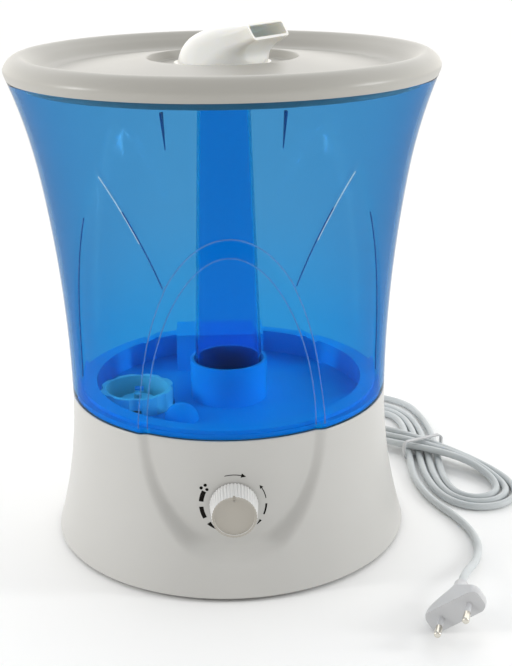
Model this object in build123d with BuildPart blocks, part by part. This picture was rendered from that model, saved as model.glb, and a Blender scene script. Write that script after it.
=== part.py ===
import math
import os

from build123d import *

os.makedirs("parts", exist_ok=True)

# Overall outline, in mm
WAIST_R = 102.1
FOOT_R = 116.0
BASE_Z = 2.5
SEAM_Z = 98.0
TANK_MID_R = 114.0
TANK_MID_Z = 240.0
TANK_TOP_R = 130.0
TANK_TOP_Z = 299.0
HOUSING_WALL = 2.8
TANK_WALL = 2.6

# Oval front panel, shared by base and tank
PANEL_HALF_W = 53.5
PANEL_UP = 118.0
PANEL_DOWN = 73.0
PANEL_R = WAIST_R - 2.7

# Petal recesses on the tank side
PETAL_ANGLES = (-142.0, -38.0, 38.0, 142.0)
PETAL_HALF_W = 43.0
PETAL_SPRING_Z = 120.0
PETAL_TOP_Z = 258.0
PETAL_DEPTH = 2.0
PETAL_FOOT_Z = SEAM_Z + 6.0

# Basin and base inside
RIM_Z = SEAM_Z
RIM_T = 3.0
BASIN_R = WAIST_R - 10.1
BASIN_WALL = 2.5
BASIN_LIP_R = BASIN_R + 3.8
BASIN_FLOOR_Z = 68.5
WELL_R = 24.0
WELL_Z = 50.0
WELL_FLOOR_T = 4.0
PLATE_Z = 4.0
PLATE_T = 2.5
BOSS_R = 4.4
BOSS_RING_R = FOOT_R - HOUSING_WALL - 9.2
BOSS_TOP_Z = 30.0
SCREW_R = 1.6
FOOT_RING_R = 80.0
FOOT_PAD_R = 8.0

# Driver board and transformer
BOARD_X = 57.0
BOARD_Y = -6.0
BOARD_W = 54.0
BOARD_D = 78.0
BOARD_Z = PLATE_Z + PLATE_T + 7.0
BOARD_T = 1.6
CORE_X = -60.0
CORE_Y = -4.0

# Transducer
DISC_R = 10.0
DISC_T = 1.2
SEAL_R = 12.8
CLAMP_R = 20.0
CLAMP_T = 3.5
CLAMP_SCREW_RING_R = 16.5

# Air way
AIR_X = -5.0
AIR_Y = 60.0
PIPE_W = 50.0
PIPE_D = 22.0
PIPE_TOP_Z = 104.0
PIPE_WALL = 2.0
FAN_SIDE = 60.0
FAN_T = 15.0
FAN_Z = PLATE_Z + PLATE_T
FAN_BORE_R = 28.5
FAN_BLADES = 7

# Control knob
KNOB_Z = 57.0
KNOB_R = 14.6
KNOB_FACE_R = 13.5
KNOB_L = 15.5
KNOB_GAP = 0.8
KNOB_FLUTES = 44
SHAFT_R = 3.0
POT_R = 7.5

# Tank floor and chimney
PAN_R = BASIN_R - BASIN_WALL - 0.9
PAN_WALL = 2.2
PAN_FLOOR_Z = 88.0
PAN_FLOOR_T = 2.5
PAN_FLANGE_R = PANEL_R - 3.9
PAN_FLANGE_Z = SEAM_Z + 3.0
COLLAR_R = 25.0
COLLAR_TOP_Z = 114.0
CHIMNEY_LOW_R = 22.6
CHIMNEY_TOP_R = 15.9
CHIMNEY_TOP_Z = 296.0
CHIMNEY_WALL = 1.8
HUMP_TOP_Z = 114.0

# Fill cap and valve
CAP_X = -60.0
CAP_Y = -12.0
CUP_R = 23.6
CUP_WALL = 3.2
CUP_TOP_Z = 99.5
CUP_GAP = 0.6
CAP_Z = 73.0
CAP_FLOOR_T = 2.2
NECK_WALL = 2.2
NECK_R = CUP_R + CUP_GAP + NECK_WALL
NECK_Z = 76.0
VALVE_HOLE_R = 6.0
CAGE_R = 11.0
CAGE_TOP_Z = 91.0
STEM_R = 2.2
STEM_TOP_Z = 95.0
STEM_Z = 70.0
SEAL_LIFT = 3.0
CAP_LOBES = 8
LOBE_R = 7.0
LOBE_DEPTH = 1.6
SPRING_R = 4.6
SPRING_WIRE_R = 0.5
SPRING_TURNS = 4

# Float
FLOAT_X = -31.0
FLOAT_Y = -40.0
FLOAT_R = 7.5
FLOAT_H = 10.0
FLOAT_POST_R = 3.0
FLOAT_POST_TOP_Z = 90.0
DOME_R = 11.0

# Lid and nozzle
LID_CREST_Z = 312.0
LID_VALLEY_R = 105.0
LID_VALLEY_Z = 301.4
SKIRT_L = 4.5
LIP_R = 46.0
LIP_Z = 308.4
WELL_FLOOR_Z = 303.0
NOZZLE_HOLE_R = 21.0
NOZZLE_FLANGE_R = 29.5
NOZZLE_TURN = -38.0
NOZZLE_WALL = 2.0
MOUTH_REACH = 34.0
MOUTH_Z = 325.2
MOUTH_W = 36.0
MOUTH_H = 10.6
MOUTH_TILT = 57.0

# Cord, hank and plug
CORD_R = 2.5
CORD_Z = CORD_R + 0.15
GLAND_ANGLE = 68.0
GLAND_Z = 24.0
GLAND_TIP_R = 128.0
TIE_X = 146.0
TIE_Y = 83.0
HANK_AXIS = -66.0
HANK_SPREAD = 28.5
HANK_TURNS = 3
HANK_PITCH = 2.0 * CORD_R + 1.8
HANK_FRONT = 65.0
HANK_FRONT_GROWTH = 22.0
HANK_BACK = 113.0
HANK_BACK_GROWTH = -23.0
HANK_LIFT = 2.0 * CORD_R + 1.8
TIE_LIFT = 1.3
HANK_STOP = 22.5
TIE_W = 3.0
TIE_T = 1.0
TIE_GAP = 0.8
PLUG_FACE = (123.2, -156.7, 14.65)
PLUG_W = 35.3
PLUG_T = 13.7
PLUG_ROLL = 36.0
PLUG_NECK_L = 33.0
PIN_R = 2.0
PIN_L = 19.0
PIN_SPACING = 18.6
SLEEVE_L = 10.0
SLEEVE_R = PIN_R - 0.3
PIN_CORE_R = SLEEVE_R - 0.5


def disc(radius, z_low, z_high, x=0.0, y=0.0, mode=Mode.ADD):
    with Locations((x, y, z_low)):
        Cylinder(radius, z_high - z_low, align=(Align.CENTER, Align.CENTER, Align.MIN), mode=mode)


def block(width, depth, z_low, z_high, x=0.0, y=0.0, mode=Mode.ADD):
    with Locations((x, y, z_low)):
        Box(width, depth, z_high - z_low, align=(Align.CENTER, Align.CENTER, Align.MIN), mode=mode)


def ring_point(radius, angle):
    return (radius * math.cos(math.radians(angle)), radius * math.sin(math.radians(angle)))


def save(builder, node):
    builder.part.label = node
    export_step(builder.part, "parts/" + node + ".step")


def oval_cutter(half_w, height, floor_r, angle):
    # Oval prism that points out of the wall, with a round core left standing
    with BuildPart(mode=Mode.PRIVATE) as cutter:
        with BuildSketch(Plane.XZ.offset(50.0)):
            with Locations((0.0, SEAM_Z)):
                Ellipse(half_w, height)
        extrude(amount=110.0)
        with Locations((0.0, 0.0, SEAM_Z)):
            Cylinder(floor_r, 4.0 * height, mode=Mode.SUBTRACT)
    return cutter.part.rotate(Axis.Z, angle)


def tank_body(shrink, low_z, high_z):
    # Solid hourglass of the tank, shrunk inward
    with BuildPart(mode=Mode.PRIVATE) as body:
        with BuildSketch(Plane.XZ):
            with BuildLine():
                waist = (WAIST_R - shrink, SEAM_Z)
                low = TangentArc(waist, (TANK_MID_R - shrink, TANK_MID_Z), tangent=(0.0, 1.0))
                high = TangentArc(low @ 1, (TANK_TOP_R - shrink, TANK_TOP_Z), tangent=low % 1)
                Polyline(high @ 1, (0.0, TANK_TOP_Z), (0.0, SEAM_Z), waist)
            make_face()
        revolve(axis=Axis.Z)
        disc(2.0 * TANK_TOP_R, SEAM_Z - 10.0, low_z, mode=Mode.SUBTRACT)
        disc(2.0 * TANK_TOP_R, high_z, TANK_TOP_Z + 50.0, mode=Mode.SUBTRACT)
    return body.part


def petal_cutter(half_w, depth, angle):
    # Pointed arch prism outside the hourglass shrunk by the depth
    apex = (0.0, PETAL_TOP_Z + 2.0 * (half_w - PETAL_HALF_W))
    with BuildPart(mode=Mode.PRIVATE) as cutter:
        with BuildSketch(Plane.XZ.offset(60.0)):
            with BuildLine():
                TangentArc((half_w, PETAL_SPRING_Z), apex, tangent=(0.0, 1.0))
                TangentArc((-half_w, PETAL_SPRING_Z), apex, tangent=(0.0, 1.0))
                Line((half_w, PETAL_SPRING_Z), (half_w, PETAL_FOOT_Z))
                Line((half_w, PETAL_FOOT_Z), (-half_w, PETAL_FOOT_Z))
                Line((-half_w, PETAL_FOOT_Z), (-half_w, PETAL_SPRING_Z))
            make_face()
        extrude(amount=90.0)
        add(tank_body(depth, SEAM_Z, TANK_TOP_Z), mode=Mode.SUBTRACT)
    return cutter.part.rotate(Axis.Z, angle)


# Base housing with its front panel
with BuildPart() as base_housing:
    with BuildSketch(Plane.XZ):
        with BuildLine():
            flare = TangentArc((WAIST_R, RIM_Z), (FOOT_R, BASE_Z), tangent=(0.0, -1.0))
            Polyline(flare @ 1, (0.0, BASE_Z), (0.0, RIM_Z), (WAIST_R, RIM_Z))
        make_face()
    revolve(axis=Axis.Z)
    add(oval_cutter(PANEL_HALF_W, PANEL_DOWN, PANEL_R, 0.0), mode=Mode.SUBTRACT)
    with BuildPart(mode=Mode.PRIVATE) as housing_cavity:
        cavity_top_z = RIM_Z - RIM_T
        with BuildSketch(Plane.XZ):
            with BuildLine():
                inner_waist = (WAIST_R - HOUSING_WALL, cavity_top_z)
                inner_flare = TangentArc(inner_waist, (FOOT_R - HOUSING_WALL, BASE_Z), tangent=(0.0, -1.0))
                Polyline(inner_flare @ 1, (0.0, BASE_Z), (0.0, cavity_top_z), inner_waist)
            make_face()
        revolve(axis=Axis.Z)
        add(
            oval_cutter(PANEL_HALF_W + HOUSING_WALL, PANEL_DOWN + HOUSING_WALL, PANEL_R - HOUSING_WALL, 0.0),
            mode=Mode.SUBTRACT,
        )
    add(housing_cavity.part, mode=Mode.SUBTRACT)
    disc(BASIN_R + 0.3, RIM_Z - 2.0 * RIM_T, RIM_Z + 1.0, mode=Mode.SUBTRACT)
    disc(BASIN_LIP_R + 0.2, RIM_Z - 2.0, RIM_Z + 1.0, mode=Mode.SUBTRACT)
    for corner in range(4):
        boss_x, boss_y = ring_point(BOSS_RING_R, 45.0 + 90.0 * corner)
        disc(BOSS_R, PLATE_Z + PLATE_T, BOSS_TOP_Z, boss_x, boss_y)
        disc(SCREW_R, PLATE_Z + PLATE_T - 1.0, BOSS_TOP_Z - 6.0, boss_x, boss_y, mode=Mode.SUBTRACT)
    gland_dir = (math.cos(math.radians(GLAND_ANGLE)), math.sin(math.radians(GLAND_ANGLE)), 0.0)
    gland_pad_r = FOOT_R - 2.5
    with BuildSketch(Plane(origin=(gland_dir[0] * 104.0, gland_dir[1] * 104.0, GLAND_Z), z_dir=gland_dir)):
        Circle(9.0)
    extrude(amount=gland_pad_r - 104.0)
    with BuildSketch(Plane(origin=(gland_dir[0] * 98.0, gland_dir[1] * 98.0, GLAND_Z), z_dir=gland_dir)):
        Circle(5.0)
    extrude(amount=20.0, mode=Mode.SUBTRACT)
    with BuildSketch(Plane(origin=(0.0, 1.0 - PANEL_R + HOUSING_WALL, KNOB_Z), z_dir=(0.0, -1.0, 0.0))):
        Circle(3.6)
    extrude(amount=HOUSING_WALL + 4.0, mode=Mode.SUBTRACT)
save(base_housing, "base_housing")

# Basin with well, posts and air pipe
with BuildPart() as basin:
    basin_under_z = BASIN_FLOOR_Z - BASIN_WALL
    with BuildSketch(Plane.XZ):
        with BuildLine():
            Polyline(
                (BASIN_LIP_R, RIM_Z - 2.0),
                (BASIN_LIP_R, RIM_Z),
                (BASIN_R - BASIN_WALL, RIM_Z),
                (BASIN_R - BASIN_WALL, BASIN_FLOOR_Z),
                (WELL_R, BASIN_FLOOR_Z),
                (WELL_R, WELL_Z),
                (DISC_R - 1.0, WELL_Z),
                (DISC_R - 1.0, WELL_Z - 1.0),
                (SEAL_R, WELL_Z - 1.0),
                (SEAL_R, WELL_Z - WELL_FLOOR_T),
                (WELL_R + BASIN_WALL, WELL_Z - WELL_FLOOR_T),
                (WELL_R + BASIN_WALL, basin_under_z),
                (BASIN_R, basin_under_z),
                (BASIN_R, RIM_Z - 2.0),
                close=True,
            )
        make_face()
    revolve(axis=Axis.Z)
    disc(5.0, BASIN_FLOOR_Z - 1.0, STEM_Z, CAP_X, CAP_Y)
    disc(FLOAT_POST_R, BASIN_FLOOR_Z - 1.0, FLOAT_POST_TOP_Z, FLOAT_X, FLOAT_Y)
    disc(1.8, basin_under_z - 1.0, FLOAT_POST_TOP_Z - 2.0, FLOAT_X, FLOAT_Y, mode=Mode.SUBTRACT)
    block(PIPE_W, PIPE_D, BASIN_FLOOR_Z - 1.0, PIPE_TOP_Z, AIR_X, AIR_Y)
    block(
        PIPE_W - 2.0 * PIPE_WALL,
        PIPE_D - 2.0 * PIPE_WALL,
        basin_under_z - 1.0,
        PIPE_TOP_Z + 1.0,
        AIR_X,
        AIR_Y,
        mode=Mode.SUBTRACT,
    )
    for corner in range(3):
        hole_x, hole_y = ring_point(CLAMP_SCREW_RING_R, 120.0 * corner)
        disc(1.25, WELL_Z - WELL_FLOOR_T - 1.0, WELL_Z - 1.2, hole_x, hole_y, mode=Mode.SUBTRACT)
save(basin, "basin")

# Bottom plate with air slots and stand-offs
plate_top_z = PLATE_Z + PLATE_T
with BuildPart() as bottom_plate:
    disc(FOOT_R - HOUSING_WALL - 1.4, PLATE_Z, plate_top_z)
    for corner in range(4):
        hole_x, hole_y = ring_point(BOSS_RING_R, 45.0 + 90.0 * corner)
        disc(SCREW_R + 0.3, PLATE_Z - 1.0, plate_top_z + 1.0, hole_x, hole_y, mode=Mode.SUBTRACT)
        disc(3.6, PLATE_Z - 1.0, PLATE_Z + 1.0, hole_x, hole_y, mode=Mode.SUBTRACT)
    for row in range(7):
        block(40.0, 3.0, PLATE_Z - 1.0, plate_top_z + 1.0, AIR_X, AIR_Y + 6.5 * (row - 3), mode=Mode.SUBTRACT)
    for side_x in (-1, 1):
        for side_y in (-1, 1):
            post_x = BOARD_X + side_x * (BOARD_W / 2.0 - 5.0)
            post_y = BOARD_Y + side_y * (BOARD_D / 2.0 - 5.0)
            disc(3.5, PLATE_Z + 1.0, BOARD_Z, post_x, post_y)
save(bottom_plate, "bottom_plate")

# Rubber feet under the plate
with BuildPart() as rubber_feet:
    for corner in range(4):
        pad_x, pad_y = ring_point(FOOT_RING_R, 45.0 + 90.0 * corner)
        disc(FOOT_PAD_R, 0.0, PLATE_Z, pad_x, pad_y)
save(rubber_feet, "rubber_feet")

# Plate screws
with BuildPart() as plate_screws:
    for corner in range(4):
        screw_x, screw_y = ring_point(BOSS_RING_R, 45.0 + 90.0 * corner)
        disc(3.3, PLATE_Z - 0.8, PLATE_Z + 1.0, screw_x, screw_y)
        disc(SCREW_R, PLATE_Z + 1.0, BOSS_TOP_Z - 12.0, screw_x, screw_y)
        block(4.0, 0.8, PLATE_Z - 1.8, PLATE_Z - 0.2, screw_x, screw_y, mode=Mode.SUBTRACT)
        block(0.8, 4.0, PLATE_Z - 1.8, PLATE_Z - 0.2, screw_x, screw_y, mode=Mode.SUBTRACT)
save(plate_screws, "plate_screws")

# Piezo disc, its rubber seal and clamp
seal_low_z = WELL_Z - WELL_FLOOR_T - 1.5
disc_low_z = WELL_Z - WELL_FLOOR_T + 0.2
with BuildPart() as transducer_disc:
    disc(DISC_R, disc_low_z, disc_low_z + DISC_T)
save(transducer_disc, "transducer_disc")

with BuildPart() as transducer_seal:
    disc(SEAL_R, seal_low_z, WELL_Z - 1.0)
    disc(DISC_R - 2.5, seal_low_z - 1.0, WELL_Z, mode=Mode.SUBTRACT)
    disc(DISC_R, disc_low_z, disc_low_z + DISC_T, mode=Mode.SUBTRACT)
save(transducer_seal, "transducer_seal")

with BuildPart() as transducer_clamp:
    disc(CLAMP_R, seal_low_z - CLAMP_T, seal_low_z)
    disc(DISC_R - 3.0, seal_low_z - CLAMP_T - 1.0, seal_low_z + 1.0, mode=Mode.SUBTRACT)
    for corner in range(3):
        tab_x, tab_y = ring_point(CLAMP_SCREW_RING_R, 120.0 * corner)
        disc(3.0, seal_low_z - 1.0, WELL_Z - WELL_FLOOR_T, tab_x, tab_y)
        disc(1.6, seal_low_z - CLAMP_T - 1.0, WELL_Z, tab_x, tab_y, mode=Mode.SUBTRACT)
save(transducer_clamp, "transducer_clamp")

with BuildPart() as clamp_screws:
    for corner in range(3):
        screw_x, screw_y = ring_point(CLAMP_SCREW_RING_R, 120.0 * corner)
        disc(2.8, seal_low_z - CLAMP_T - 2.0, seal_low_z - CLAMP_T, screw_x, screw_y)
        disc(1.25, seal_low_z - CLAMP_T - 0.5, WELL_Z - 1.6, screw_x, screw_y)
save(clamp_screws, "clamp_screws")

# Driver board, its parts and heat sink
with BuildPart() as driver_board:
    block(BOARD_W, BOARD_D, BOARD_Z, BOARD_Z + BOARD_T, BOARD_X, BOARD_Y)
save(driver_board, "driver_board")

with BuildPart() as heat_sink:
    block(12.0, 46.0, BOARD_Z + BOARD_T, BOARD_Z + 24.0, BOARD_X + 12.0, BOARD_Y)
    for fin in range(6):
        fin_y = BOARD_Y + 7.6 * (fin - 2.5)
        block(9.0, 4.8, BOARD_Z + 5.0, BOARD_Z + 25.0, BOARD_X + 14.0, fin_y, mode=Mode.SUBTRACT)
save(heat_sink, "heat_sink")

with BuildPart() as board_parts:
    for count in range(3):
        disc(5.0, BOARD_Z + BOARD_T, BOARD_Z + 16.0, BOARD_X - 16.0, BOARD_Y + 24.0 - 13.0 * count)
    block(10.0, 14.0, BOARD_Z + BOARD_T, BOARD_Z + 12.0, BOARD_X - 14.0, BOARD_Y - 22.0)
    block(4.6, 15.0, BOARD_Z + BOARD_T, BOARD_Z + 18.0, BOARD_X + 3.7, BOARD_Y)
save(board_parts, "board_parts")

# Mains transformer
with BuildPart() as transformer_core:
    block(48.0, 20.0, plate_top_z, plate_top_z + 38.0, CORE_X, CORE_Y)
    for side in (-1, 1):
        slot_x = CORE_X + 12.0 * side
        block(8.0, 22.0, plate_top_z + 7.0, plate_top_z + 31.0, slot_x, CORE_Y, mode=Mode.SUBTRACT)
save(transformer_core, "transformer_core")

with BuildPart() as transformer_coil:
    block(31.6, 34.0, plate_top_z + 7.4, plate_top_z + 30.6, CORE_X, CORE_Y)
    block(16.0, 20.0, plate_top_z + 7.0, plate_top_z + 31.0, CORE_X, CORE_Y, mode=Mode.SUBTRACT)
save(transformer_coil, "transformer_coil")

# Fan frame, fan wheel and air duct
with BuildPart() as fan_frame:
    block(FAN_SIDE, FAN_SIDE, FAN_Z, FAN_Z + FAN_T, AIR_X, AIR_Y)
    disc(FAN_BORE_R, FAN_Z - 1.0, FAN_Z + FAN_T + 1.0, AIR_X, AIR_Y, mode=Mode.SUBTRACT)
    disc(14.0, FAN_Z, FAN_Z + 2.5, AIR_X, AIR_Y)
    block(FAN_SIDE - 1.0, 3.0, FAN_Z, FAN_Z + 2.0, AIR_X, AIR_Y)
    block(3.0, FAN_SIDE - 1.0, FAN_Z, FAN_Z + 2.0, AIR_X, AIR_Y)
    disc(1.5, FAN_Z, FAN_Z + 10.0, AIR_X, AIR_Y)
save(fan_frame, "fan_frame")

with BuildPart() as fan_impeller:
    disc(13.0, FAN_Z + 3.5, FAN_Z + 14.0, AIR_X, AIR_Y)
    disc(1.9, FAN_Z + 3.0, FAN_Z + 11.5, AIR_X, AIR_Y, mode=Mode.SUBTRACT)
    for blade in range(FAN_BLADES):
        blade_angle = 360.0 * blade / FAN_BLADES
        blade_dir = (math.cos(math.radians(blade_angle)), math.sin(math.radians(blade_angle)), 0.0)
        blade_x = AIR_X + 12.0 * blade_dir[0]
        blade_y = AIR_Y + 12.0 * blade_dir[1]
        with BuildSketch(Plane(origin=(blade_x, blade_y, FAN_Z + 8.7), z_dir=blade_dir)):
            Rectangle(10.0, 1.4, rotation=45.0)
        extrude(amount=14.6)
save(fan_impeller, "fan_impeller")

with BuildPart() as air_duct:
    duct_low_z = FAN_Z + FAN_T
    duct_high_z = BASIN_FLOOR_Z - BASIN_WALL
    with BuildSketch(Plane.XY.offset(duct_low_z)):
        with Locations((AIR_X, AIR_Y)):
            Rectangle(FAN_SIDE - 2.0, FAN_SIDE - 2.0)
    with BuildSketch(Plane.XY.offset(duct_high_z)):
        with Locations((AIR_X, AIR_Y)):
            Rectangle(PIPE_W, PIPE_D)
    loft()
    with BuildSketch(Plane.XY.offset(duct_low_z)):
        with Locations((AIR_X, AIR_Y)):
            Rectangle(FAN_SIDE - 6.0, FAN_SIDE - 6.0)
    with BuildSketch(Plane.XY.offset(duct_high_z)):
        with Locations((AIR_X, AIR_Y)):
            Rectangle(PIPE_W - 4.0, PIPE_D - 4.0)
    loft(mode=Mode.SUBTRACT)
save(air_duct, "air_duct")

# Reed switch inside the float post
with BuildPart() as reed_switch:
    disc(1.8, FLOAT_POST_TOP_Z - 18.0, FLOAT_POST_TOP_Z - 2.0, FLOAT_X, FLOAT_Y)
save(reed_switch, "reed_switch")

# Float, its magnet and the clip on the post
float_top_z = BASIN_FLOOR_Z + FLOAT_H
float_bore_r = FLOAT_POST_R + 0.4
magnet_r = FLOAT_R - 1.3
with BuildPart() as float_body:
    disc(FLOAT_R, BASIN_FLOOR_Z, float_top_z, FLOAT_X, FLOAT_Y)
    disc(float_bore_r, BASIN_FLOOR_Z - 1.0, float_top_z + 1.0, FLOAT_X, FLOAT_Y, mode=Mode.SUBTRACT)
    disc(magnet_r, float_top_z - 3.0, float_top_z + 1.0, FLOAT_X, FLOAT_Y, mode=Mode.SUBTRACT)
save(float_body, "float_body")

with BuildPart() as float_magnet:
    disc(magnet_r, float_top_z - 3.0, float_top_z, FLOAT_X, FLOAT_Y)
    disc(float_bore_r, BASIN_FLOOR_Z, float_top_z + 1.0, FLOAT_X, FLOAT_Y, mode=Mode.SUBTRACT)
save(float_magnet, "float_magnet")

with BuildPart() as float_clip:
    disc(5.5, FLOAT_POST_TOP_Z - 4.0, FLOAT_POST_TOP_Z - 2.8, FLOAT_X, FLOAT_Y)
    disc(FLOAT_POST_R, FLOAT_POST_TOP_Z - 5.0, FLOAT_POST_TOP_Z, FLOAT_X, FLOAT_Y, mode=Mode.SUBTRACT)
save(float_clip, "float_clip")

# Potentiometer behind the panel
pot_front_y = -(PANEL_R - HOUSING_WALL - 0.8)
pot_plane = Plane(origin=(0.0, pot_front_y, KNOB_Z), x_dir=(1.0, 0.0, 0.0), z_dir=(0.0, -1.0, 0.0))
with BuildPart() as pot_body:
    with BuildSketch(pot_plane):
        Circle(POT_R)
    extrude(amount=-9.0)
    with BuildSketch(pot_plane):
        Circle(3.4)
    extrude(amount=8.2)
    with BuildSketch(pot_plane.offset(9.0)):
        Circle(SHAFT_R + 0.1)
    extrude(amount=-14.0, mode=Mode.SUBTRACT)
save(pot_body, "pot_body")

with BuildPart() as pot_nut:
    with BuildSketch(pot_plane.offset(HOUSING_WALL + 0.85)):
        RegularPolygon(6.0, 6)
        Circle(3.4, mode=Mode.SUBTRACT)
    extrude(amount=2.2)
save(pot_nut, "pot_nut")

# Control knob and its shaft
knob_rear_y = -(PANEL_R + KNOB_GAP)
knob_plane = Plane(origin=(0.0, knob_rear_y, KNOB_Z), x_dir=(1.0, 0.0, 0.0), z_dir=(0.0, -1.0, 0.0))
with BuildPart() as knob:
    with BuildSketch(knob_plane):
        Circle(KNOB_R)
        with PolarLocations(KNOB_R + 0.25, KNOB_FLUTES):
            Circle(0.65, mode=Mode.SUBTRACT)
    extrude(amount=KNOB_L, taper=math.degrees(math.atan((KNOB_R - KNOB_FACE_R) / KNOB_L)))
    with BuildSketch(knob_plane.offset(KNOB_L)):
        Circle(KNOB_FACE_R - 1.6)
    extrude(amount=-1.0, mode=Mode.SUBTRACT)
    with BuildSketch(knob_plane.offset(KNOB_L + 0.5)):
        with Locations((0.0, KNOB_FACE_R - 1.9)):
            Rectangle(1.4, 3.6)
    extrude(amount=-2.1, mode=Mode.SUBTRACT)
    with BuildSketch(knob_plane):
        Circle(KNOB_R - 2.8)
        Circle(5.4, mode=Mode.SUBTRACT)
    extrude(amount=KNOB_L - 3.4, mode=Mode.SUBTRACT)
    with BuildSketch(knob_plane):
        Circle(8.0)
    extrude(amount=5.0, mode=Mode.SUBTRACT)
    with BuildSketch(knob_plane):
        Circle(SHAFT_R)
    extrude(amount=KNOB_L - 3.0, mode=Mode.SUBTRACT)
save(knob, "knob")

with BuildPart() as knob_shaft:
    with BuildSketch(knob_plane.offset(KNOB_L - 3.0)):
        Circle(SHAFT_R)
    extrude(amount=-(KNOB_L + 3.0))
save(knob_shaft, "knob_shaft")

# Tank shell with arch and petals
with BuildPart() as tank_shell:
    add(tank_body(0.0, SEAM_Z, TANK_TOP_Z))
    add(oval_cutter(PANEL_HALF_W, PANEL_UP, PANEL_R, 0.0), mode=Mode.SUBTRACT)
    for petal_angle in PETAL_ANGLES:
        add(petal_cutter(PETAL_HALF_W, PETAL_DEPTH, petal_angle), mode=Mode.SUBTRACT)
    with BuildPart(mode=Mode.PRIVATE) as tank_cavity:
        add(tank_body(TANK_WALL, PAN_FLANGE_Z, TANK_TOP_Z))
        add(
            oval_cutter(PANEL_HALF_W + TANK_WALL, PANEL_UP + TANK_WALL, PANEL_R - TANK_WALL, 0.0),
            mode=Mode.SUBTRACT,
        )
        for petal_angle in PETAL_ANGLES:
            inner_petal = petal_cutter(PETAL_HALF_W + TANK_WALL, PETAL_DEPTH + TANK_WALL, petal_angle)
            add(inner_petal, mode=Mode.SUBTRACT)
    add(tank_cavity.part, mode=Mode.SUBTRACT)
    disc(PAN_R + 0.4, SEAM_Z - 1.0, PAN_FLANGE_Z + 1.0, mode=Mode.SUBTRACT)
save(tank_shell, "tank_shell")

# Tank pan with collar, hump, dome and fill neck
pan_under_z = PAN_FLOOR_Z - PAN_FLOOR_T
with BuildPart() as tank_pan:
    with BuildSketch(Plane.XZ):
        with BuildLine():
            Polyline(
                (PAN_FLANGE_R, PAN_FLANGE_Z),
                (PAN_FLANGE_R, PAN_FLANGE_Z + 2.2),
                (PAN_R - PAN_WALL, PAN_FLANGE_Z + 2.2),
                (PAN_R - PAN_WALL, PAN_FLOOR_Z),
                (COLLAR_R, PAN_FLOOR_Z),
                (COLLAR_R, COLLAR_TOP_Z),
                (COLLAR_R - 2.0, COLLAR_TOP_Z),
                (COLLAR_R - 2.0, PAN_FLOOR_Z),
                (COLLAR_R - 5.0, PAN_FLOOR_Z),
                (COLLAR_R - 5.0, pan_under_z),
                (PAN_R, pan_under_z),
                (PAN_R, PAN_FLANGE_Z),
                close=True,
            )
        make_face()
    revolve(axis=Axis.Z)
    block(PIPE_W + 10.0, PIPE_D + 8.0, pan_under_z, HUMP_TOP_Z, AIR_X, AIR_Y)
    block(PIPE_W + 6.0, PIPE_D + 4.0, pan_under_z - 1.0, HUMP_TOP_Z - 2.0, AIR_X, AIR_Y, mode=Mode.SUBTRACT)
    with Locations((FLOAT_X, FLOAT_Y, PAN_FLOOR_Z - 0.5)):
        Sphere(DOME_R, arc_size1=0.0, align=(Align.CENTER, Align.CENTER, Align.MIN))
    with Locations((FLOAT_X, FLOAT_Y, PAN_FLOOR_Z - 0.5)):
        Sphere(DOME_R - 2.2, mode=Mode.SUBTRACT)
    disc(DOME_R - 2.2, pan_under_z - 1.0, PAN_FLOOR_Z - 0.5, FLOAT_X, FLOAT_Y, mode=Mode.SUBTRACT)
    disc(NECK_R, NECK_Z, pan_under_z + 0.5, CAP_X, CAP_Y)
    disc(NECK_R - NECK_WALL, NECK_Z - 1.0, PAN_FLOOR_Z + 1.0, CAP_X, CAP_Y, mode=Mode.SUBTRACT)
save(tank_pan, "tank_pan")

# Mist chimney
with BuildPart() as chimney:
    with BuildSketch(Plane.XZ):
        with BuildLine():
            Polyline(
                (CHIMNEY_LOW_R - CHIMNEY_WALL, PAN_FLOOR_Z),
                (CHIMNEY_LOW_R, PAN_FLOOR_Z),
                (CHIMNEY_TOP_R, CHIMNEY_TOP_Z),
                (CHIMNEY_TOP_R - CHIMNEY_WALL, CHIMNEY_TOP_Z),
                close=True,
            )
        make_face()
    revolve(axis=Axis.Z)
save(chimney, "chimney")

# Fill cap: flange, lobed cup with two drain slots, and valve cage
cap_floor_z = CAP_Z + CAP_FLOOR_T
with BuildPart() as fill_cap:
    disc(NECK_R, CAP_Z, cap_floor_z, CAP_X, CAP_Y)
    with BuildSketch(Plane.XY.offset(cap_floor_z)):
        with Locations((CAP_X, CAP_Y)):
            Circle(CUP_R)
            with PolarLocations(CUP_R + LOBE_R - LOBE_DEPTH, CAP_LOBES):
                Circle(LOBE_R, mode=Mode.SUBTRACT)
            Circle(CUP_R - CUP_WALL, mode=Mode.SUBTRACT)
    extrude(amount=CUP_TOP_Z - cap_floor_z)
    block(6.0, 3.0 * CUP_R, PAN_FLOOR_Z, PAN_FLOOR_Z + 4.0, CAP_X, CAP_Y, mode=Mode.SUBTRACT)
    disc(CAGE_R, cap_floor_z - 0.5, CAGE_TOP_Z, CAP_X, CAP_Y)
    disc(CAGE_R - 2.0, cap_floor_z, CAGE_TOP_Z - 2.0, CAP_X, CAP_Y, mode=Mode.SUBTRACT)
    block(8.0, 3.0 * CAGE_R, cap_floor_z, CAGE_TOP_Z - 4.0, CAP_X, CAP_Y, mode=Mode.SUBTRACT)
    block(3.0 * CAGE_R, 8.0, cap_floor_z, CAGE_TOP_Z - 4.0, CAP_X, CAP_Y, mode=Mode.SUBTRACT)
    disc(STEM_R + 0.4, CAGE_TOP_Z - 3.0, CAGE_TOP_Z + 1.0, CAP_X, CAP_Y, mode=Mode.SUBTRACT)
    disc(VALVE_HOLE_R, CAP_Z - 1.0, cap_floor_z + 1.0, CAP_X, CAP_Y, mode=Mode.SUBTRACT)
save(fill_cap, "fill_cap")

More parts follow.
